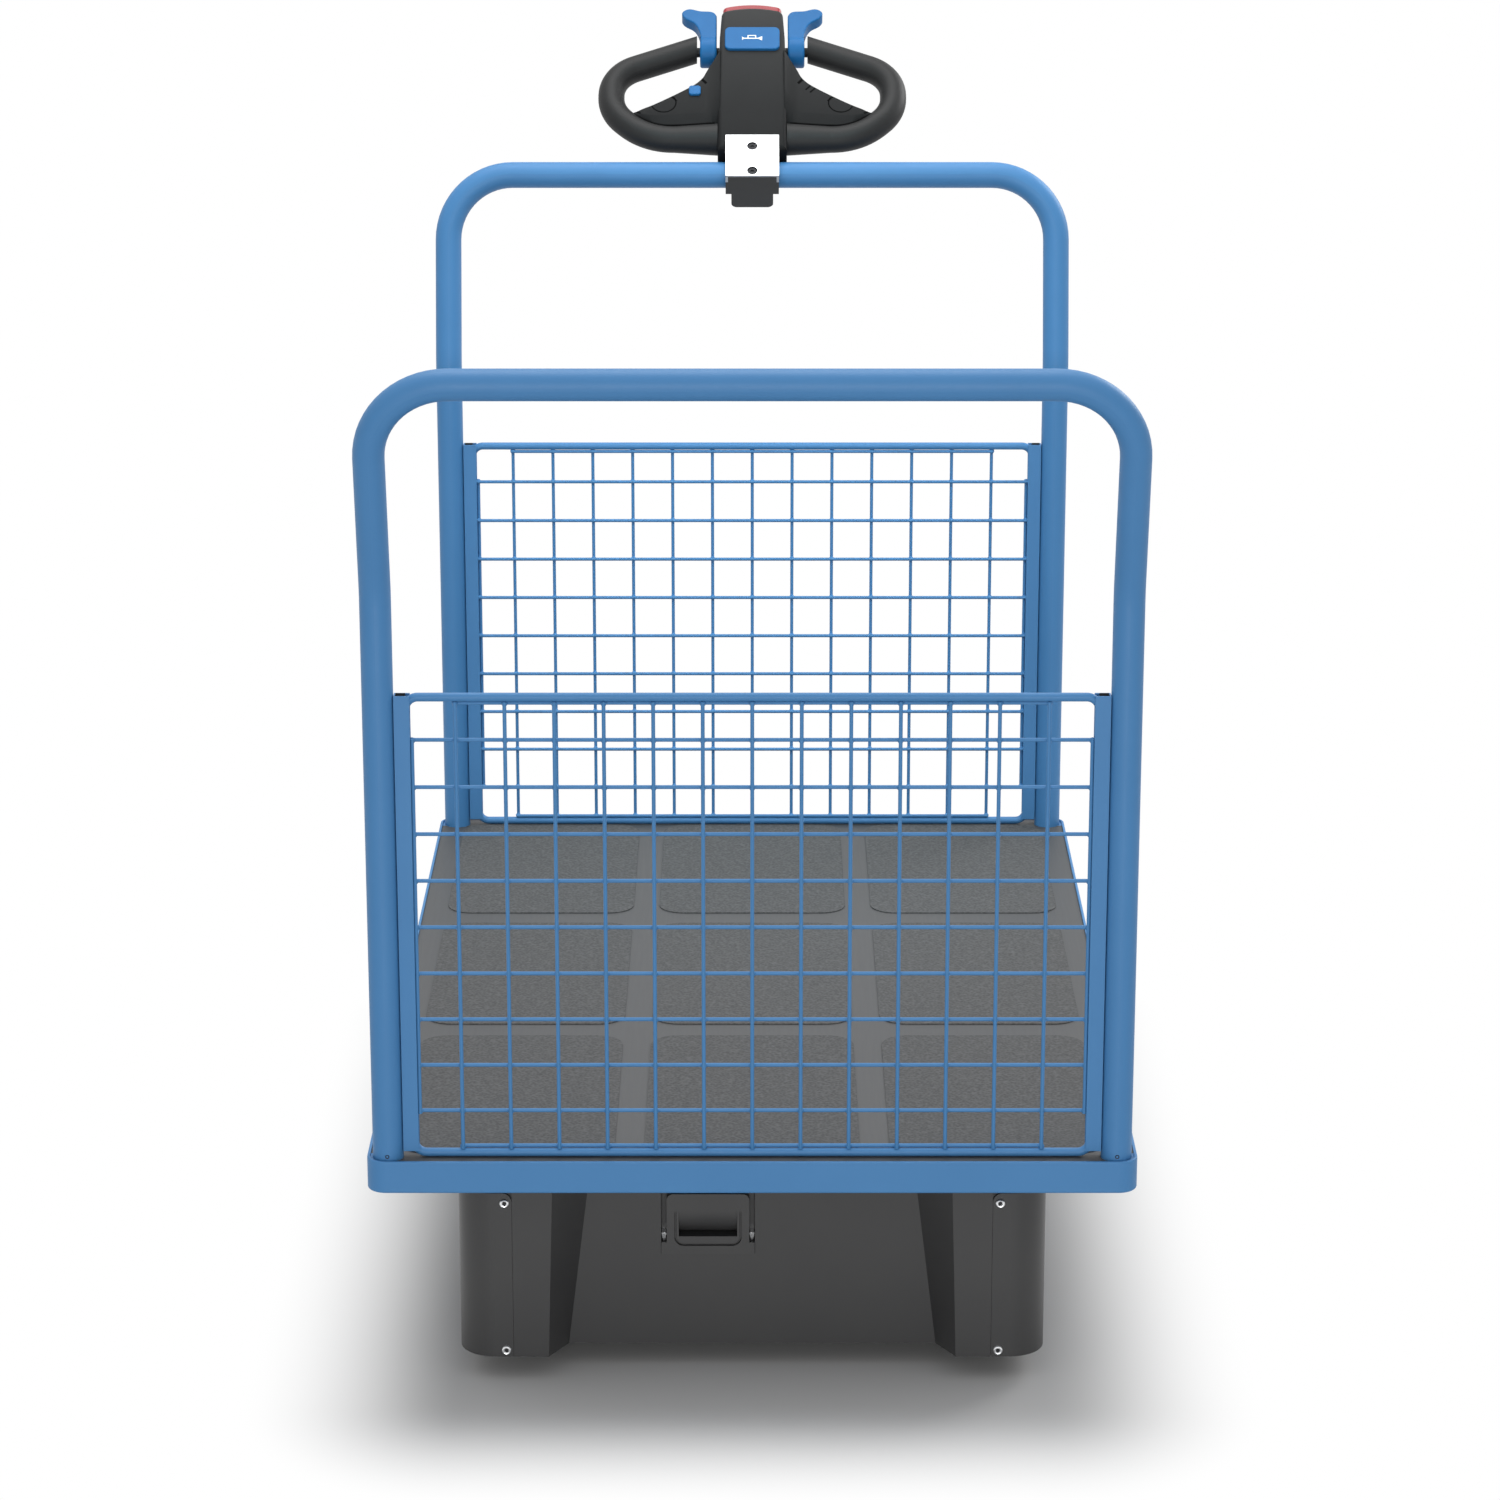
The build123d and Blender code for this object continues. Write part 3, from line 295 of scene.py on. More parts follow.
black_steel, surface, coords = start_finish("black_oxide_steel")
feed(surface, "Base Color", mix(noise(coords, 300), colour(34, 34, 36), colour(48, 48, 50)))
surface.inputs["Metallic"].default_value = 0.7
feed(surface, "Roughness", 0.4 + 0.2 * noise(coords, 700))
deck_low, deck_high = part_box("deck_frame")
deck_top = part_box("deck_panel")[1].z
tube_radius, leg_inset, screw_rise, leg_feet = 0.016, 0.022, 0.0055, []
for bow, outward, deck_end in (("front_bow", 1, deck_high.x), ("rear_bow", -1, deck_low.x)):
    low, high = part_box(bow)
    foot_x = deck_end - outward * (leg_inset - tube_radius)
    for leg_y in (low.y + tube_radius, high.y - tube_radius):
        leg_feet.append(((foot_x, leg_y, deck_top + screw_rise), (outward, 0, 0)))
screw_profile = [(0, -0.0004), (0.0011, -0.0004), (0.0014, 0.0003), (0.0021, 0.0004), (0.0023, -0.0006)]
set_on("leg_set_screws", turned("set_screw", screw_profile), leg_feet, black_steel, "chassis")

# A dead black with almost no gloss, used as painted shade in the channels' tops and in the wing covers'
# grooves and seam.
shade_black, surface, coords = start_finish("painted_shade_black")
feed(surface, "Base Color", mix(noise(coords, 400, 1), colour(10, 10, 10), colour(16, 16, 16)))
surface.inputs["Roughness"].default_value = 0.9
surface.inputs["Specular IOR Level"].default_value = 0.05
channel_wall, shade_block_width, shade_block_height, shade_block_lap = 0.002, 0.009, 0.003, 0.0003


def channel_shade_blocks(bm):
    """A black block in the top of each channel, between its outer wall and the bend of the rod frame:
    painted shade for the hollow there.
    """
    inset = channel_wall + shade_block_width / 2
    for end in ends:
        low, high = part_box(f"{end}_panel_channels")
        depth = high.x - low.x - 2 * channel_wall + 2 * shade_block_lap
        size = Matrix.Diagonal((depth, shade_block_width + 2 * shade_block_lap, shade_block_height, 1))
        middle_x, middle_z = (low.x + high.x) / 2, high.z + shade_block_lap - shade_block_height / 2
        for middle_y in (high.y - inset, low.y + inset):
            place = Matrix.Translation((middle_x, middle_y, middle_z))
            bmesh.ops.create_cube(bm, size=1, matrix=place @ size)


def fit_piece(name, build, finish, place=Matrix.Identity(4), edge_width=0):
    """A piece filled by build(bm) and moved to its place, in its finish, fixed to the chassis."""
    piece = mesh_object(name, build)
    piece.data.transform(place)
    piece.data.materials.append(finish)
    if edge_width:
        piece.modifiers.new("edges", "BEVEL").width = edge_width
    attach(piece, "chassis")


# Painted shade: black blocks that stand for the dark hollows at the channels' tops.
fit_piece("channel_plugs", channel_shade_blocks, shade_black)

# Drive unit: a moulded housing and two wheel covers in dark grey plastic with a fine eroded
# texture. The covers are held by zinc plated socket screws into the housing's tabs.
grey_plastic, surface, coords = start_finish("drive_unit_plastic")
texture, cloud = noise(coords, 1900, 1), noise(coords, 14, 3)
feed(surface, "Base Color", mix(cloud, colour(46, 46, 47), colour(52, 52, 52)))
feed(surface, "Roughness", 0.4 + 0.12 * texture)
roughen(surface, texture, 0.22, 0.0002)
coat_nodes(grey_plastic, "drive_housing", "wheel_cover_left", "wheel_cover_right")

bright_zinc, surface, coords = start_finish("bright_zinc_plate")
flow = noise(coords, 60, 3)
feed(surface, "Base Color", mix(flow, colour(214, 216, 218), colour(236, 237, 238)))
surface.inputs["Metallic"].default_value = 1
feed(surface, "Roughness", 0.24 + 0.14 * flow)
housing_low, housing_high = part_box("drive_housing")
cover_low, cover_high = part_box("wheel_cover_left")
screw_inset, screw_drop = 0.0075, 0.011
cover_screws = [
    ((x, side * (cover_low.y + screw_inset), z), (way, 0, 0))
    for x, way in ((housing_high.x, 1), (housing_low.x, -1))
    for side in (1, -1)
    for z in (cover_low.z + screw_inset, cover_high.z - screw_drop)
]
socket_screw = turned("socket_screw", [
    (0, 0.0002), (0.0026, 0.0002), (0.0026, 0.0024), (0.0036, 0.0027),
    (0.0046, 0.0022), (0.0052, 0.001), (0.0052, -0.0006),
])
set_on("cover_screws", socket_screw, cover_screws, bright_zinc, "chassis")
# Painted shade: a black hex disc at the floor of each zinc screw's socket stands for the dark inside the
# socket.
socket_floor = turned("socket_floor", [(0, 0.0014), (0.0024, 0.0014), (0.0024, 0.0004)], 6)
set_on("cover_screw_sockets", socket_floor, cover_screws, black_steel, "chassis")

# Battery: a slide-in pack in the same grey, smoother where hands polish it, held by a sprung
# steel catch in the slot at each side. The upper edge of its grip is rolled in for the fingers.
battery_plastic, surface, coords = start_finish("battery_plastic")
texture = noise(coords, 2400, 1)
feed(surface, "Base Color", mix(noise(coords, 22, 2), colour(48, 48, 49), colour(55, 55, 55)))
feed(surface, "Roughness", 0.36 + 0.12 * texture)
roughen(surface, texture, 0.14, 0.00015)
coat_nodes(battery_plastic, "battery_pack")
battery_low, battery_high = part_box("battery_pack")
slot_width, catch_rise, catch_height, catch_depth, catch_edge = 0.0057, 0.0135, 0.011, 0.0125, 0.0004
catch_foot, catch_head = (0.0014, -0.0035), (0.0026, 0.0008)  # half width, and how far proud of the pack
grip_width, grip_drop, roll_depth, roll_height, roll_steps = 0.0616, 0.02, 0.017, 0.027, 24


def catch_blocks(bm):
    """A wedge in each slot, wider and further out at its head."""
    back, foot_z = battery_high.x - catch_depth, battery_low.z + catch_rise
    for middle in (battery_low.y + slot_width / 2, battery_high.y - slot_width / 2):
        rows = []
        for z, (half, proud) in ((foot_z, catch_foot), (foot_z + catch_height, catch_head)):
            face = battery_high.x + proud
            corners = ((back, -half), (face, -half), (face, half), (back, half))
            rows.append([bm.verts.new((x, middle + y, z)) for x, y in corners])
        skin(bm, rows)


def grip_roll(bm):
    """The grip's upper edge: a quarter round, flush with the front, that runs in behind the bar."""
    grip_top, middle_y = battery_high.z - grip_drop, (battery_low.y + battery_high.y) / 2
    section = [(roll_depth, 0)]
    for step in range(roll_steps + 1):
        angle = math.pi / 2 * step / roll_steps
        section.append((roll_depth * (1 - math.cos(angle)), roll_height * math.sin(angle)))
    skin(bm, [
        [bm.verts.new((battery_high.x - back, y, grip_top - down)) for back, down in section]
        for y in (middle_y + grip_width / 2, middle_y - grip_width / 2)
    ])


fit_piece("battery_catches", catch_blocks, bright_zinc, edge_width=catch_edge)
fit_piece("battery_grip_roll", grip_roll, battery_plastic)

# Drive wheels: hub motors with cast covers on stub axles, under a plate and brackets of mild
# steel. The tyres are black rubber with two staggered rows of moulded tread blocks.
mill_steel, surface, coords = start_finish("mill_steel")
drawn = coords.node("ShaderNodeMapping", None, {"Vector": coords, "Scale": (40, 8, 160)})
scale_marks = noise(drawn, 12, 4)
feed(surface, "Base Color", mix(scale_marks, colour(112, 113, 115), colour(150, 151, 153)))
surface.inputs["Metallic"].default_value = 0.9
feed(surface, "Roughness", 0.36 + 0.22 * scale_marks)
roughen(surface, scale_marks, 0.06, 0.0003)
coat_nodes(mill_steel, "drive_plate", "drive_brackets", "drive_axle_left", "drive_axle_right")

cast_metal, surface, coords = start_finish("cast_hub_metal")
cast_grain = noise(coords, 420, 3)
feed(surface, "Base Color", mix(cast_grain, colour(120, 122, 125), colour(158, 160, 163)))
surface.inputs["Metallic"].default_value = 0.85
feed(surface, "Roughness", 0.42 + 0.2 * cast_grain)
roughen(surface, cast_grain, 0.15, 0.0004)
coat_nodes(cast_metal, "drive_hub_left", "drive_hub_right")

rubber, surface, coords = start_finish("tyre_rubber")
dust, pores = noise(coords, 18, 4), noise(coords, 1200, 1)
feed(surface, "Base Color", mix(dust * 0.7, colour(32, 32, 33), colour(62, 61, 59)))
feed(surface, "Roughness", 0.68 + 0.18 * dust)
roughen(surface, pores, 0.2, 0.0003)
coat_nodes(rubber, "castor_tyre_left", "castor_tyre_right", "drive_tyre_left", "drive_tyre_right")

tread, given, tread_inputs = new_tree("tread_block_rows", {
    "Casing": "Geometry", "Block": "Object", "Blocks per row": "Int",
    "Radius": "Float", "Row distance": "Float", "Finish": "Material",
}, "Tyre")
ring = tread.node("GeometryNodeMeshCircle", None, {
    "Vertices": given["Blocks per row"], "Radius": given["Radius"],
})
half_turn = tread.math("DIVIDE", math.pi, given["Blocks per row"])
rows = []
for sign in (1, -1):
    shift = tread.node("ShaderNodeCombineXYZ", None, {"Z": given["Row distance"] * (sign / 2)})
    stagger = tread.node("ShaderNodeCombineXYZ", None, {"Z": half_turn * ((sign + 1) / 2)})
    rows.append(tread.node("GeometryNodeTransform", None, {
        "Geometry": ring, "Translation": shift, "Rotation": stagger,
    }))
both_rows = tread.node("GeometryNodeJoinGeometry", None, {0: rows})
place = tread.node("GeometryNodeInputPosition")
outwards = tread.node("ShaderNodeVectorMath", {"operation": "MULTIPLY"}, {0: place, 1: (1, 1, 0)})
turn_out = tread.node(
    "FunctionNodeAlignRotationToVector", {"axis": "X", "pivot_axis": "Z"}, {"Vector": outwards},
)
block_shape = tread.node("GeometryNodeObjectInfo", None, {"Object": given["Block"]}, output="Geometry")
blocks = tread.node("GeometryNodeInstanceOnPoints", None, {
    "Points": both_rows, "Instance": block_shape, "Rotation": turn_out,
})
realized = tread.node("GeometryNodeRealizeInstances", None, {"Geometry": blocks})
tyre_parts = tread.node("GeometryNodeJoinGeometry", None, {0: [realized, given["Casing"]]})
coated = tread.node("GeometryNodeSetMaterial", None, {
    "Geometry": tyre_parts, "Material": given["Finish"],
})
tread.node("NodeGroupOutput", None, {"Tyre": coated})

tyre_radius, tyre_half, tyre_steps, bead_radius = 0.1, 0.025, 48, 0.078
tread_depth, blocks_per_row, row_distance = 0.0024, 44, 0.0168
block_root, block_slant = 0.0012, 0.0016
crown_radius = tyre_radius - tread_depth


def casing_shape(bm):
    """A closed rubber ring: bead, side rib, rounded shoulder, and a fine groove round its middle."""
    wall = (
        (bead_radius, 0), (0.083, 0), (0.0846, 0.0008), (0.0862, 0),
        (0.0925, 0.0004), (0.0958, 0.004), (crown_radius, 0.009),
    )
    half = [(radius, inset - tyre_half) for radius, inset in wall]
    half += [(crown_radius, -0.001), (crown_radius - 0.0016, -0.0008)]
    profile = half + [(radius, -height) for radius, height in half[::-1]]
    turn(bm, profile + [profile[0]], tyre_steps)
    bmesh.ops.remove_doubles(bm, verts=bm.verts, dist=1e-6)


def tread_block(bm):
    """One slanted block: its depth along X, its length round the tyre along Y, its width along Z."""
    root, top = [
        [
            bm.verts.new((x, round_way * half_length + across * block_slant, across * half_width))
            for round_way, across in ((-1, -1), (1, -1), (1, 1), (-1, 1))
        ]
        for x, half_length, half_width in ((-block_root, 0.0046, 0.0078), (tread_depth, 0.0038, 0.0066))
    ]
    skin(bm, [root, top], closed_ends=False)
    bm.faces.new(top)


for side in ("left", "right"):
    low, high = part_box(f"drive_tyre_{side}")
    tyre = mesh_object(f"drive_tyre_tread_{side}", casing_shape)
    block = mesh_object("tread_block", tread_block)
    settle(tyre, tread.tree, tread_inputs, {
        "Block": block, "Blocks per row": blocks_per_row, "Radius": crown_radius,
        "Row distance": row_distance, "Finish": rubber,
    })
    bpy.data.objects.remove(block)
    tyre.data.transform(Matrix.Translation((low + high) / 2) @ Matrix.Rotation(math.radians(90), 4, "X"))
    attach(tyre, f"drive_wheel_{side}")
    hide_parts(f"drive_tyre_{side}")

# Rear castors: pressed steel plates and forks in yellowish zinc, ribbed polyamide rims and the
# same black rubber. Four hex bolts hold each plate, and more of them hold the cross members.
castor_zinc, surface, coords = start_finish("castor_zinc_plate")
tone = noise(coords, 30, 3)
feed(surface, "Base Color", mix(tone, colour(176, 178, 180), colour(208, 206, 196)))
surface.inputs["Metallic"].default_value = 1
feed(surface, "Roughness", 0.28 + 0.2 * tone)
coat_nodes(castor_zinc, "castor_plates")
for side in ("left", "right"):
    coat_nodes(castor_zinc, f"castor_fork_{side}", f"castor_axle_{side}")

rim_plastic, surface, coords = start_finish("castor_rim_plastic")
texture = noise(coords, 1500, 1)
feed(surface, "Base Color", mix(noise(coords, 25, 2), colour(92, 94, 97), colour(104, 106, 109)))
feed(surface, "Roughness", 0.5 + 0.12 * texture)
roughen(surface, texture, 0.15, 0.0002)
coat_nodes(rim_plastic, "castor_rim_left", "castor_rim_right")


def hex_bolt_shape(bm):
    """A hex head with its chamfer on a round washer."""
    turn(bm, [(0.0085, -0.0004), (0.0085, 0.0012), (0.0078, 0.0016), (0.0055, 0.0016)], 24)
    turn(bm, [(0.0066, 0.0014), (0.0066, 0.0062), (0.0058, 0.0072), (0, 0.0072)], 6)


plate_low, plate_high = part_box("castor_plates")
plate_thickness, bolt_inset, bolt_reach = 0.006, 0.018, 0.092
member_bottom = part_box("cross_members")[0].z
deck_middle, plate_middle = (deck_low.x + deck_high.x) / 2, (plate_low.x + plate_high.x) / 2
downwards = (0, 0, -1)
member_bolts = [((deck_middle, y, member_bottom), downwards) for y in (-0.3, -0.15, 0, 0.15, 0.3)]
member_bolts += [((plate_middle, y, member_bottom), downwards) for y in (-0.1, 0, 0.1)]
castor_bolts = [
    ((x, side * y, plate_high.z - plate_thickness), downwards)
    for side in (1, -1)
    for x in (plate_low.x + bolt_inset, plate_high.x - bolt_inset)
    for y in (plate_high.y - bolt_inset, plate_high.y - bolt_reach)
]
for name, places, slot in (
    ("member_bolts", member_bolts, "bracket_zinc"), ("castor_bolts", castor_bolts, "castor_zinc"),
):
    set_on(name, mesh_object("hex_bolt", hex_bolt_shape), places, bright_zinc, "chassis")

# Control head: a moulded column with wings in near-black plastic, on a clamp block of the drive unit's
# grey plastic round the tube. Its colour has painted light: darker at its foot and paler towards its
# upper end.
head_finish, surface, coords = start_finish("control_head_plastic")
texture = noise(coords, 2200, 1)
head_low, head_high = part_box("head_body")
# Painted light: the colour runs from dark at the column's foot to paler at its top, as if lit from
# above, with a little random tone mixed in.
rise = coords.node("ShaderNodeSeparateXYZ", None, {0: coords}, output="Z")
painted_light_rise = rise.node("ShaderNodeMapRange", None, {"Value": rise, 1: head_low.z, 2: head_high.z})
painted_light_and_tone = painted_light_rise * painted_light_rise * 0.9 + noise(coords, 20, 2) * 0.1
feed(surface, "Base Color", mix(painted_light_and_tone, colour(20, 20, 21), colour(62, 62, 62)))
feed(surface, "Roughness", 0.46 + 0.14 * texture)
surface.inputs["Specular IOR Level"].default_value = 0.08
roughen(surface, texture, 0.2, 0.0002)
coat_nodes(head_finish, "head_body")
coat_nodes(grey_plastic, "head_clamp")

# Wing covers: the head's upper shells over the foot of both loops, screwed from below. Each has a slope
# down to the seam along the loop, moulded strokes at its edge and a round knock-out, whose shade is
# painted as black strips.
bow_low, bow_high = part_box("rear_bow")
lean = math.radians(40)
head_place = Matrix((
    (0, -math.cos(lean), math.sin(lean), bow_low.x + tube_radius),
    (1, 0, 0, 0),
    (0, math.sin(lean), math.cos(lean), bow_high.z - tube_radius),
    (0, 0, 0, 1),
))
# Points across and along the head, and heights over its middle plane, in millimetres.
wing_rim = ((149.4, 84.4), (123.6, 96.3), (79.6, 124.3), (63.5, 139.2), (55.4, 155.4), (40.5, 181))
wing_crease = ((40, 84), (100, 79), (122, 78), (138, 80.5), (150, 84.2))
wing_seam = ((40, 69.2), (99, 64.6), (122, 67.9), (138, 76.2), (150, 83.6))
wing_face, cover_rise, seam_rise = 18.8, 4, 1
tip_end, tip_run = 152, 16
sweep_start, sweep_run, sweep_rise = 62, 20, 7
seam_start, seam_end = 44, 149
mark_sunk, mark_proud = 0.6, 0.2
seam_steps, rim_steps = 6, 7


def smooth_run(points, steps):
    """Points on a smooth curve through the given ones."""
    run, last = [], len(points) - 1
    for place in range(last):
        before, start, end, after = [
            Vector(points[min(max(place + offset, 0), last)]) for offset in (-1, 0, 1, 2)
        ]
        for step in range(steps):
            t = step / steps
            run.append(0.5 * (
                2 * start + (end - before) * t + (2 * before - 5 * start + 4 * end - after) * t ** 2
                + (3 * start - before - 3 * end + after) * t ** 3
            ))
    return run + [Vector(points[-1])]


def level_at(points, across):
    """The height of a polyline at one place across."""
    for (u0, v0), (u1, v1) in zip(points, points[1:]):
        if u0 <= across <= u1:
            return v0 + (v1 - v0) * (across - u0) / (u1 - u0)


def cover_level(across):
    """The height of a cover's top: flat, low at its tip, and swept up to the column."""
    at_tip, at_column = min(1, (tip_end - across) / tip_run), max(0, (sweep_start - across) / sweep_run)
    return wing_face + cover_rise * at_tip + sweep_rise * at_column ** 2


def seam_level(across):
    """The height of the seam line at the foot of a cover, the same all along it."""
    return wing_face + seam_rise


def wing_covers(bm):
    """Both covers, section by section: rim, rounded edge, top, crease and the slope to the seam."""
    crease_run, seam_run = smooth_run(wing_crease, seam_steps), smooth_run(wing_seam, seam_steps)
    for side in (1, -1):
        rows = []
        for across, rim in smooth_run(wing_rim, rim_steps):
            crease, seam = level_at(crease_run, across), level_at(seam_run, across)
            rise = cover_level(across) - wing_face
            section = (
                (rim, 0), (rim, rise * 0.65), (rim - 0.3, rise * 0.88), (rim - 0.9, rise),
                (max(crease + 1.4, rim - 60), rise), (crease, rise * 0.95), (seam + 0.6, 0.9), (seam, 0),
            )
            rows.append([
                bm.verts.new((side * across / 1000, along / 1000, (wing_face + height) / 1000))
                for along, height in section
            ])
        skin(bm, rows)


fit_piece("wing_covers", wing_covers, head_finish, head_place)

seam_line = [point for point in smooth_run(wing_seam, seam_steps) if seam_start < point.x < seam_end]
knock_out, knock_out_radius = Vector((111, 99)), 15.5
knock_out_angles = [math.radians(degrees) for degrees in range(144, 341, 7)]
knock_out_line = [
    knock_out + knock_out_radius * Vector((math.cos(angle), math.sin(angle)))
    for angle in knock_out_angles
]
strokes = [
    # each moulded line's points, its width, and the height that it follows
    (((63.2, 138), (57.5, 131)), 3.2, cover_level),
    (((72.8, 127), (67, 120.5)), 2, cover_level),
    (((78.6, 123), (72.5, 116)), 2, cover_level),
    (((101, 109), (94.5, 102)), 2, cover_level),
    (((144.5, 85.6), (139.5, 82.4)), 2, cover_level),
    (seam_line, 1.8, seam_level),
    (knock_out_line, 1.6, cover_level),
]


def wing_marks(bm):
    """Low closed black strips along each stroke, sunk into the top of both covers: painted shade for the
    grooves and the seam.
    """
    strip = ((-1, -mark_sunk), (-1, mark_proud), (1, mark_proud), (1, -mark_sunk))
    for points, width, level in strokes:
        points = [Vector(point) for point in points]
        for side in (1, -1):
            rows = []
            for place, point in enumerate(points):
                ahead = points[min(place + 1, len(points) - 1)] - points[max(place - 1, 0)]
                aside = Vector((-ahead.y, ahead.x)).normalized() * width / 2
                rows.append([])
                for sign, height in strip:
                    across, along = point + sign * aside
                    up = level(point.x) + height
                    rows[-1].append(bm.verts.new((side * across / 1000, along / 1000, up / 1000)))
            skin(bm, rows)


# Painted shade: the strokes, the seam and the knock-out ring are black strips, not cut grooves.
fit_piece("wing_marks", wing_marks, shade_black, head_place)

# Grips and controls: soft loop grips over steel tube, blue thumb levers, horn pad and speed
# toggle, and a red reversing cap at the operator's end, all clipped into the head.
soft_grip, surface, coords = start_finish("soft_grip_rubber")
texture = noise(coords, 1400, 2)
feed(surface, "Base Color", mix(texture, colour(24, 24, 25), colour(30, 30, 30)))
feed(surface, "Roughness", 0.46 + 0.14 * texture)
surface.inputs["Specular IOR Level"].default_value = 0.3
roughen(surface, texture, 0.2, 0.0003)
coat_nodes(soft_grip, "head_grips")

blue_plastic, surface, coords = start_finish("blue_control_plastic")
feed(surface, "Base Color", mix(noise(coords, 40, 2), colour(27, 97, 154), colour(33, 107, 166)))
feed(surface, "Roughness", 0.4 + 0.1 * noise(coords, 1600, 1))
surface.inputs["Specular IOR Level"].default_value = 0.2
coat_nodes(blue_plastic, "thumb_levers", "horn_button", "speed_toggle")

red_plastic, surface, coords = start_finish("red_switch_plastic")
feed(surface, "Base Color", mix(noise(coords, 40, 2), colour(146, 24, 34), colour(160, 32, 42)))
feed(surface, "Roughness", 0.34 + 0.1 * noise(coords, 1600, 1))
coat_nodes(red_plastic, "reverse_switch")

# Head bracket and horn sign: a bright zinc saddle over the tube, held by two socket screws, and a
# white horn printed on the blue pad.
coat_nodes(bright_zinc, "head_bracket")
head_up = (math.sin(lean), 0, math.cos(lean))
saddle_top, screw_offset = 0.0287, 0.02
bracket_screws = [
    (head_place @ Vector((0, along, saddle_top)), head_up) for along in (screw_offset, -screw_offset)
]
bracket_screw = turned("bracket_screw", [
    (0, 0.0001), (0.0026, 0.0001), (0.0026, 0.0014), (0.0052, 0.0016), (0.006, 0.001), (0.0063, -0.0002),
])
set_on("bracket_screws", bracket_screw, bracket_screws, black_steel, "chassis")

sign_white, surface, coords = start_finish("printed_white")
feed(surface, "Base Color", mix(noise(coords, 300, 1), colour(238, 240, 242), colour(250, 250, 250)))
surface.inputs["Roughness"].default_value = 0.5
horn_strokes = (
    # corners across and along from the pad's middle: tube, mouthpiece, bell, and a coil of three bars
    ((-0.0105, -0.0022), (0.0075, -0.0022), (0.0075, -0.0006), (-0.0105, -0.0006)),
    ((-0.0128, -0.0042), (-0.0105, -0.0022), (-0.0105, -0.0006), (-0.0128, 0.0014)),
    ((0.0075, -0.0022), (0.0125, -0.005), (0.0125, 0.0022), (0.0075, -0.0006)),
    ((-0.006, -0.0006), (-0.0046, -0.0006), (-0.0046, 0.0026), (-0.006, 0.004)),
    ((-0.006, 0.004), (-0.0046, 0.0026), (0.0036, 0.0026), (0.005, 0.004)),
    ((0.0036, 0.0026), (0.0036, -0.0006), (0.005, -0.0006), (0.005, 0.004)),
)
pad_top, pad_middle, print_height = 0.0351, 0.197, 0.0002


def horn_shape(bm):
    """Each stroke of the sign, raised by the thickness of the print."""
    for stroke in horn_strokes:
        corners = [(across, pad_middle + along, pad_top) for across, along in stroke]
        face = bm.faces.new([bm.verts.new(corner) for corner in corners])
        raised = bmesh.ops.extrude_face_region(bm, geom=[face])
        tops = [item for item in raised["geom"] if isinstance(item, bmesh.types.BMVert)]
        bmesh.ops.translate(bm, vec=(0, 0, print_height), verts=tops)


fit_piece("horn_sign", horn_shape, sign_white, head_place)

# Camera, floor and lights: the picture's view down over the front end, on a white sweep that
# keeps the cart's soft shadow.
camera_distance, camera_height, camera_tilt = 4.9727, 2.0115, 16.459
camera = bpy.data.objects.new("camera", bpy.data.cameras.new("camera"))
bpy.context.scene.collection.objects.link(camera)
bpy.context.scene.camera = camera
camera.location = (deck_middle + camera_distance, 0, camera_height)
camera.rotation_euler = (math.radians(90 - camera_tilt), 0, math.radians(90))
camera.data.lens = 108.71
camera.data.sensor_width = 36
camera.data.shift_x = -0.0015
camera.data.clip_end = 60


def seen_rays(start):
    """1 for what the camera sees, also in gloss and through glass, and 0 for light on the cart."""
    camera_ray, glossy_ray, through_ray = [
        start.node("ShaderNodeLightPath", output=f"Is {kind} Ray")
        for kind in ("Camera", "Glossy", "Transmission")
    ]
    return start.math("MINIMUM", camera_ray + glossy_ray + through_ray, 1)


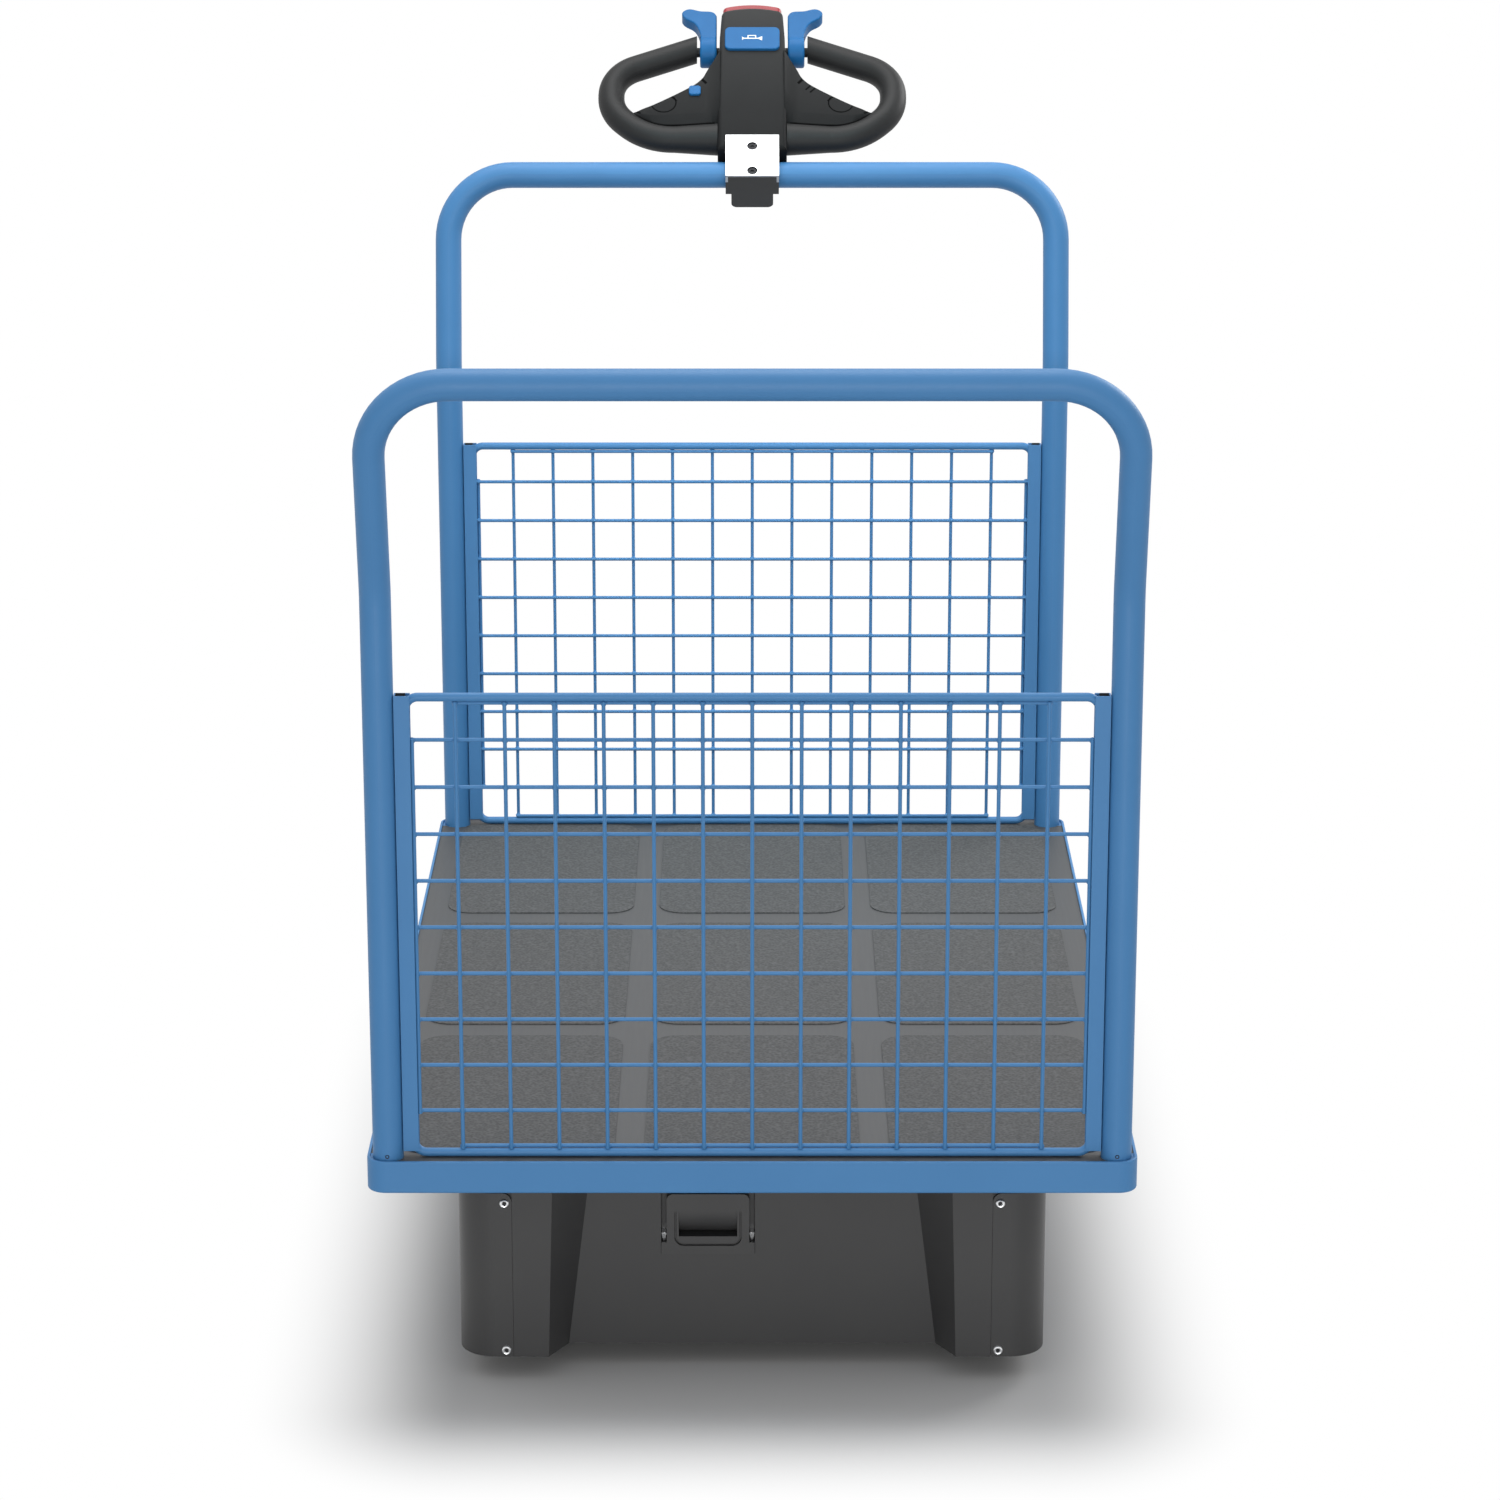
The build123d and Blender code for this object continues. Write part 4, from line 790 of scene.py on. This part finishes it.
floor_grey, floor_half, shadow_half, shadow_reach = 0.53, 20, 0.3, 0.24
floor_finish = bpy.data.materials.new("white_floor")
floor_finish.use_nodes = True
floor_finish.node_tree.nodes.clear()
start = Socket(floor_finish.node_tree)
seen = seen_rays(start)
spot = start.node("ShaderNodeTexCoord", output="Object")
outside = []
for axis, middle, half in (("X", deck_middle, (deck_high.x - deck_low.x) / 2), ("Y", 0, shadow_half)):
    offset = spot.node("ShaderNodeSeparateXYZ", None, {0: spot}, output=axis) - middle
    outside.append(start.math("MAXIMUM", start.math("ABSOLUTE", offset, 0) - half, 0))
distance = start.math("POWER", outside[0] * outside[0] + outside[1] * outside[1], 0.5)
fade = distance.node("ShaderNodeMapRange", {"interpolation_type": "SMOOTHSTEP"}, {
    "Value": distance, 1: 0.0, 2: shadow_reach,
})
lit = start.node("ShaderNodeBsdfDiffuse", None, {"Color": (floor_grey, floor_grey, floor_grey, 1)})
white = start.node("ShaderNodeEmission", None, {"Color": (1, 1, 1, 1), "Strength": seen})
floor_mix = start.node("ShaderNodeMixShader", None, {0: fade * seen, 1: lit, 2: white})
start.node("ShaderNodeOutputMaterial", None, {"Surface": floor_mix})
floor = mesh_object(
    "floor", lambda bm: bmesh.ops.create_grid(bm, x_segments=1, y_segments=1, size=floor_half),
)
floor.data.materials.append(floor_finish)

world = bpy.data.worlds.new("white_studio")
bpy.context.scene.world = world
world.use_nodes = True
background = world.node_tree.nodes["Background"]
start = Socket(world.node_tree)
seen = seen_rays(start)
sky = start.node("ShaderNodeTexCoord", output="Generated")
height = start.math("MAXIMUM", sky.node("ShaderNodeSeparateXYZ", None, {0: sky}, output="Z"), 0)
ambient = 0.3 + 0.6 * height
feed(background, "Strength", seen + (1 - seen) * ambient)
background.inputs["Color"].default_value = (1, 1, 1, 1)

white_light, cool_light = (1, 1, 1), (0.6, 0.92, 1)
for name, place, aim, size, power, spread_angle, tint in (
    ("key", (-0.6, -0.2, 4.2), (-0.2, 0, 0.4), 2.6, 76, 180, white_light),
    ("fill", (5.6, 0.0, 0.9), (0.2, 0, 0.5), 2.4, 102, 180, white_light),
    ("back", (-2.2, 2.6, 2.4), (-0.5, 0, 0.8), 1.6, 50, 180, white_light),
    ("inner", (0.4, 0, 1.75), (-0.56, 0, 0.6), 0.8, 1.4, 56, cool_light),
):
    lamp = bpy.data.lights.new(name, "AREA")
    lamp.size, lamp.energy, lamp.spread, lamp.color = size, power, math.radians(spread_angle), tint
    holder = bpy.data.objects.new(name, lamp)
    holder.visible_camera = False
    holder.location = place
    holder.rotation_euler = (Vector(aim) - Vector(place)).to_track_quat("-Z", "Y").to_euler()
    bpy.context.scene.collection.objects.link(holder)

bpy.context.scene.view_settings.view_transform = "Standard"
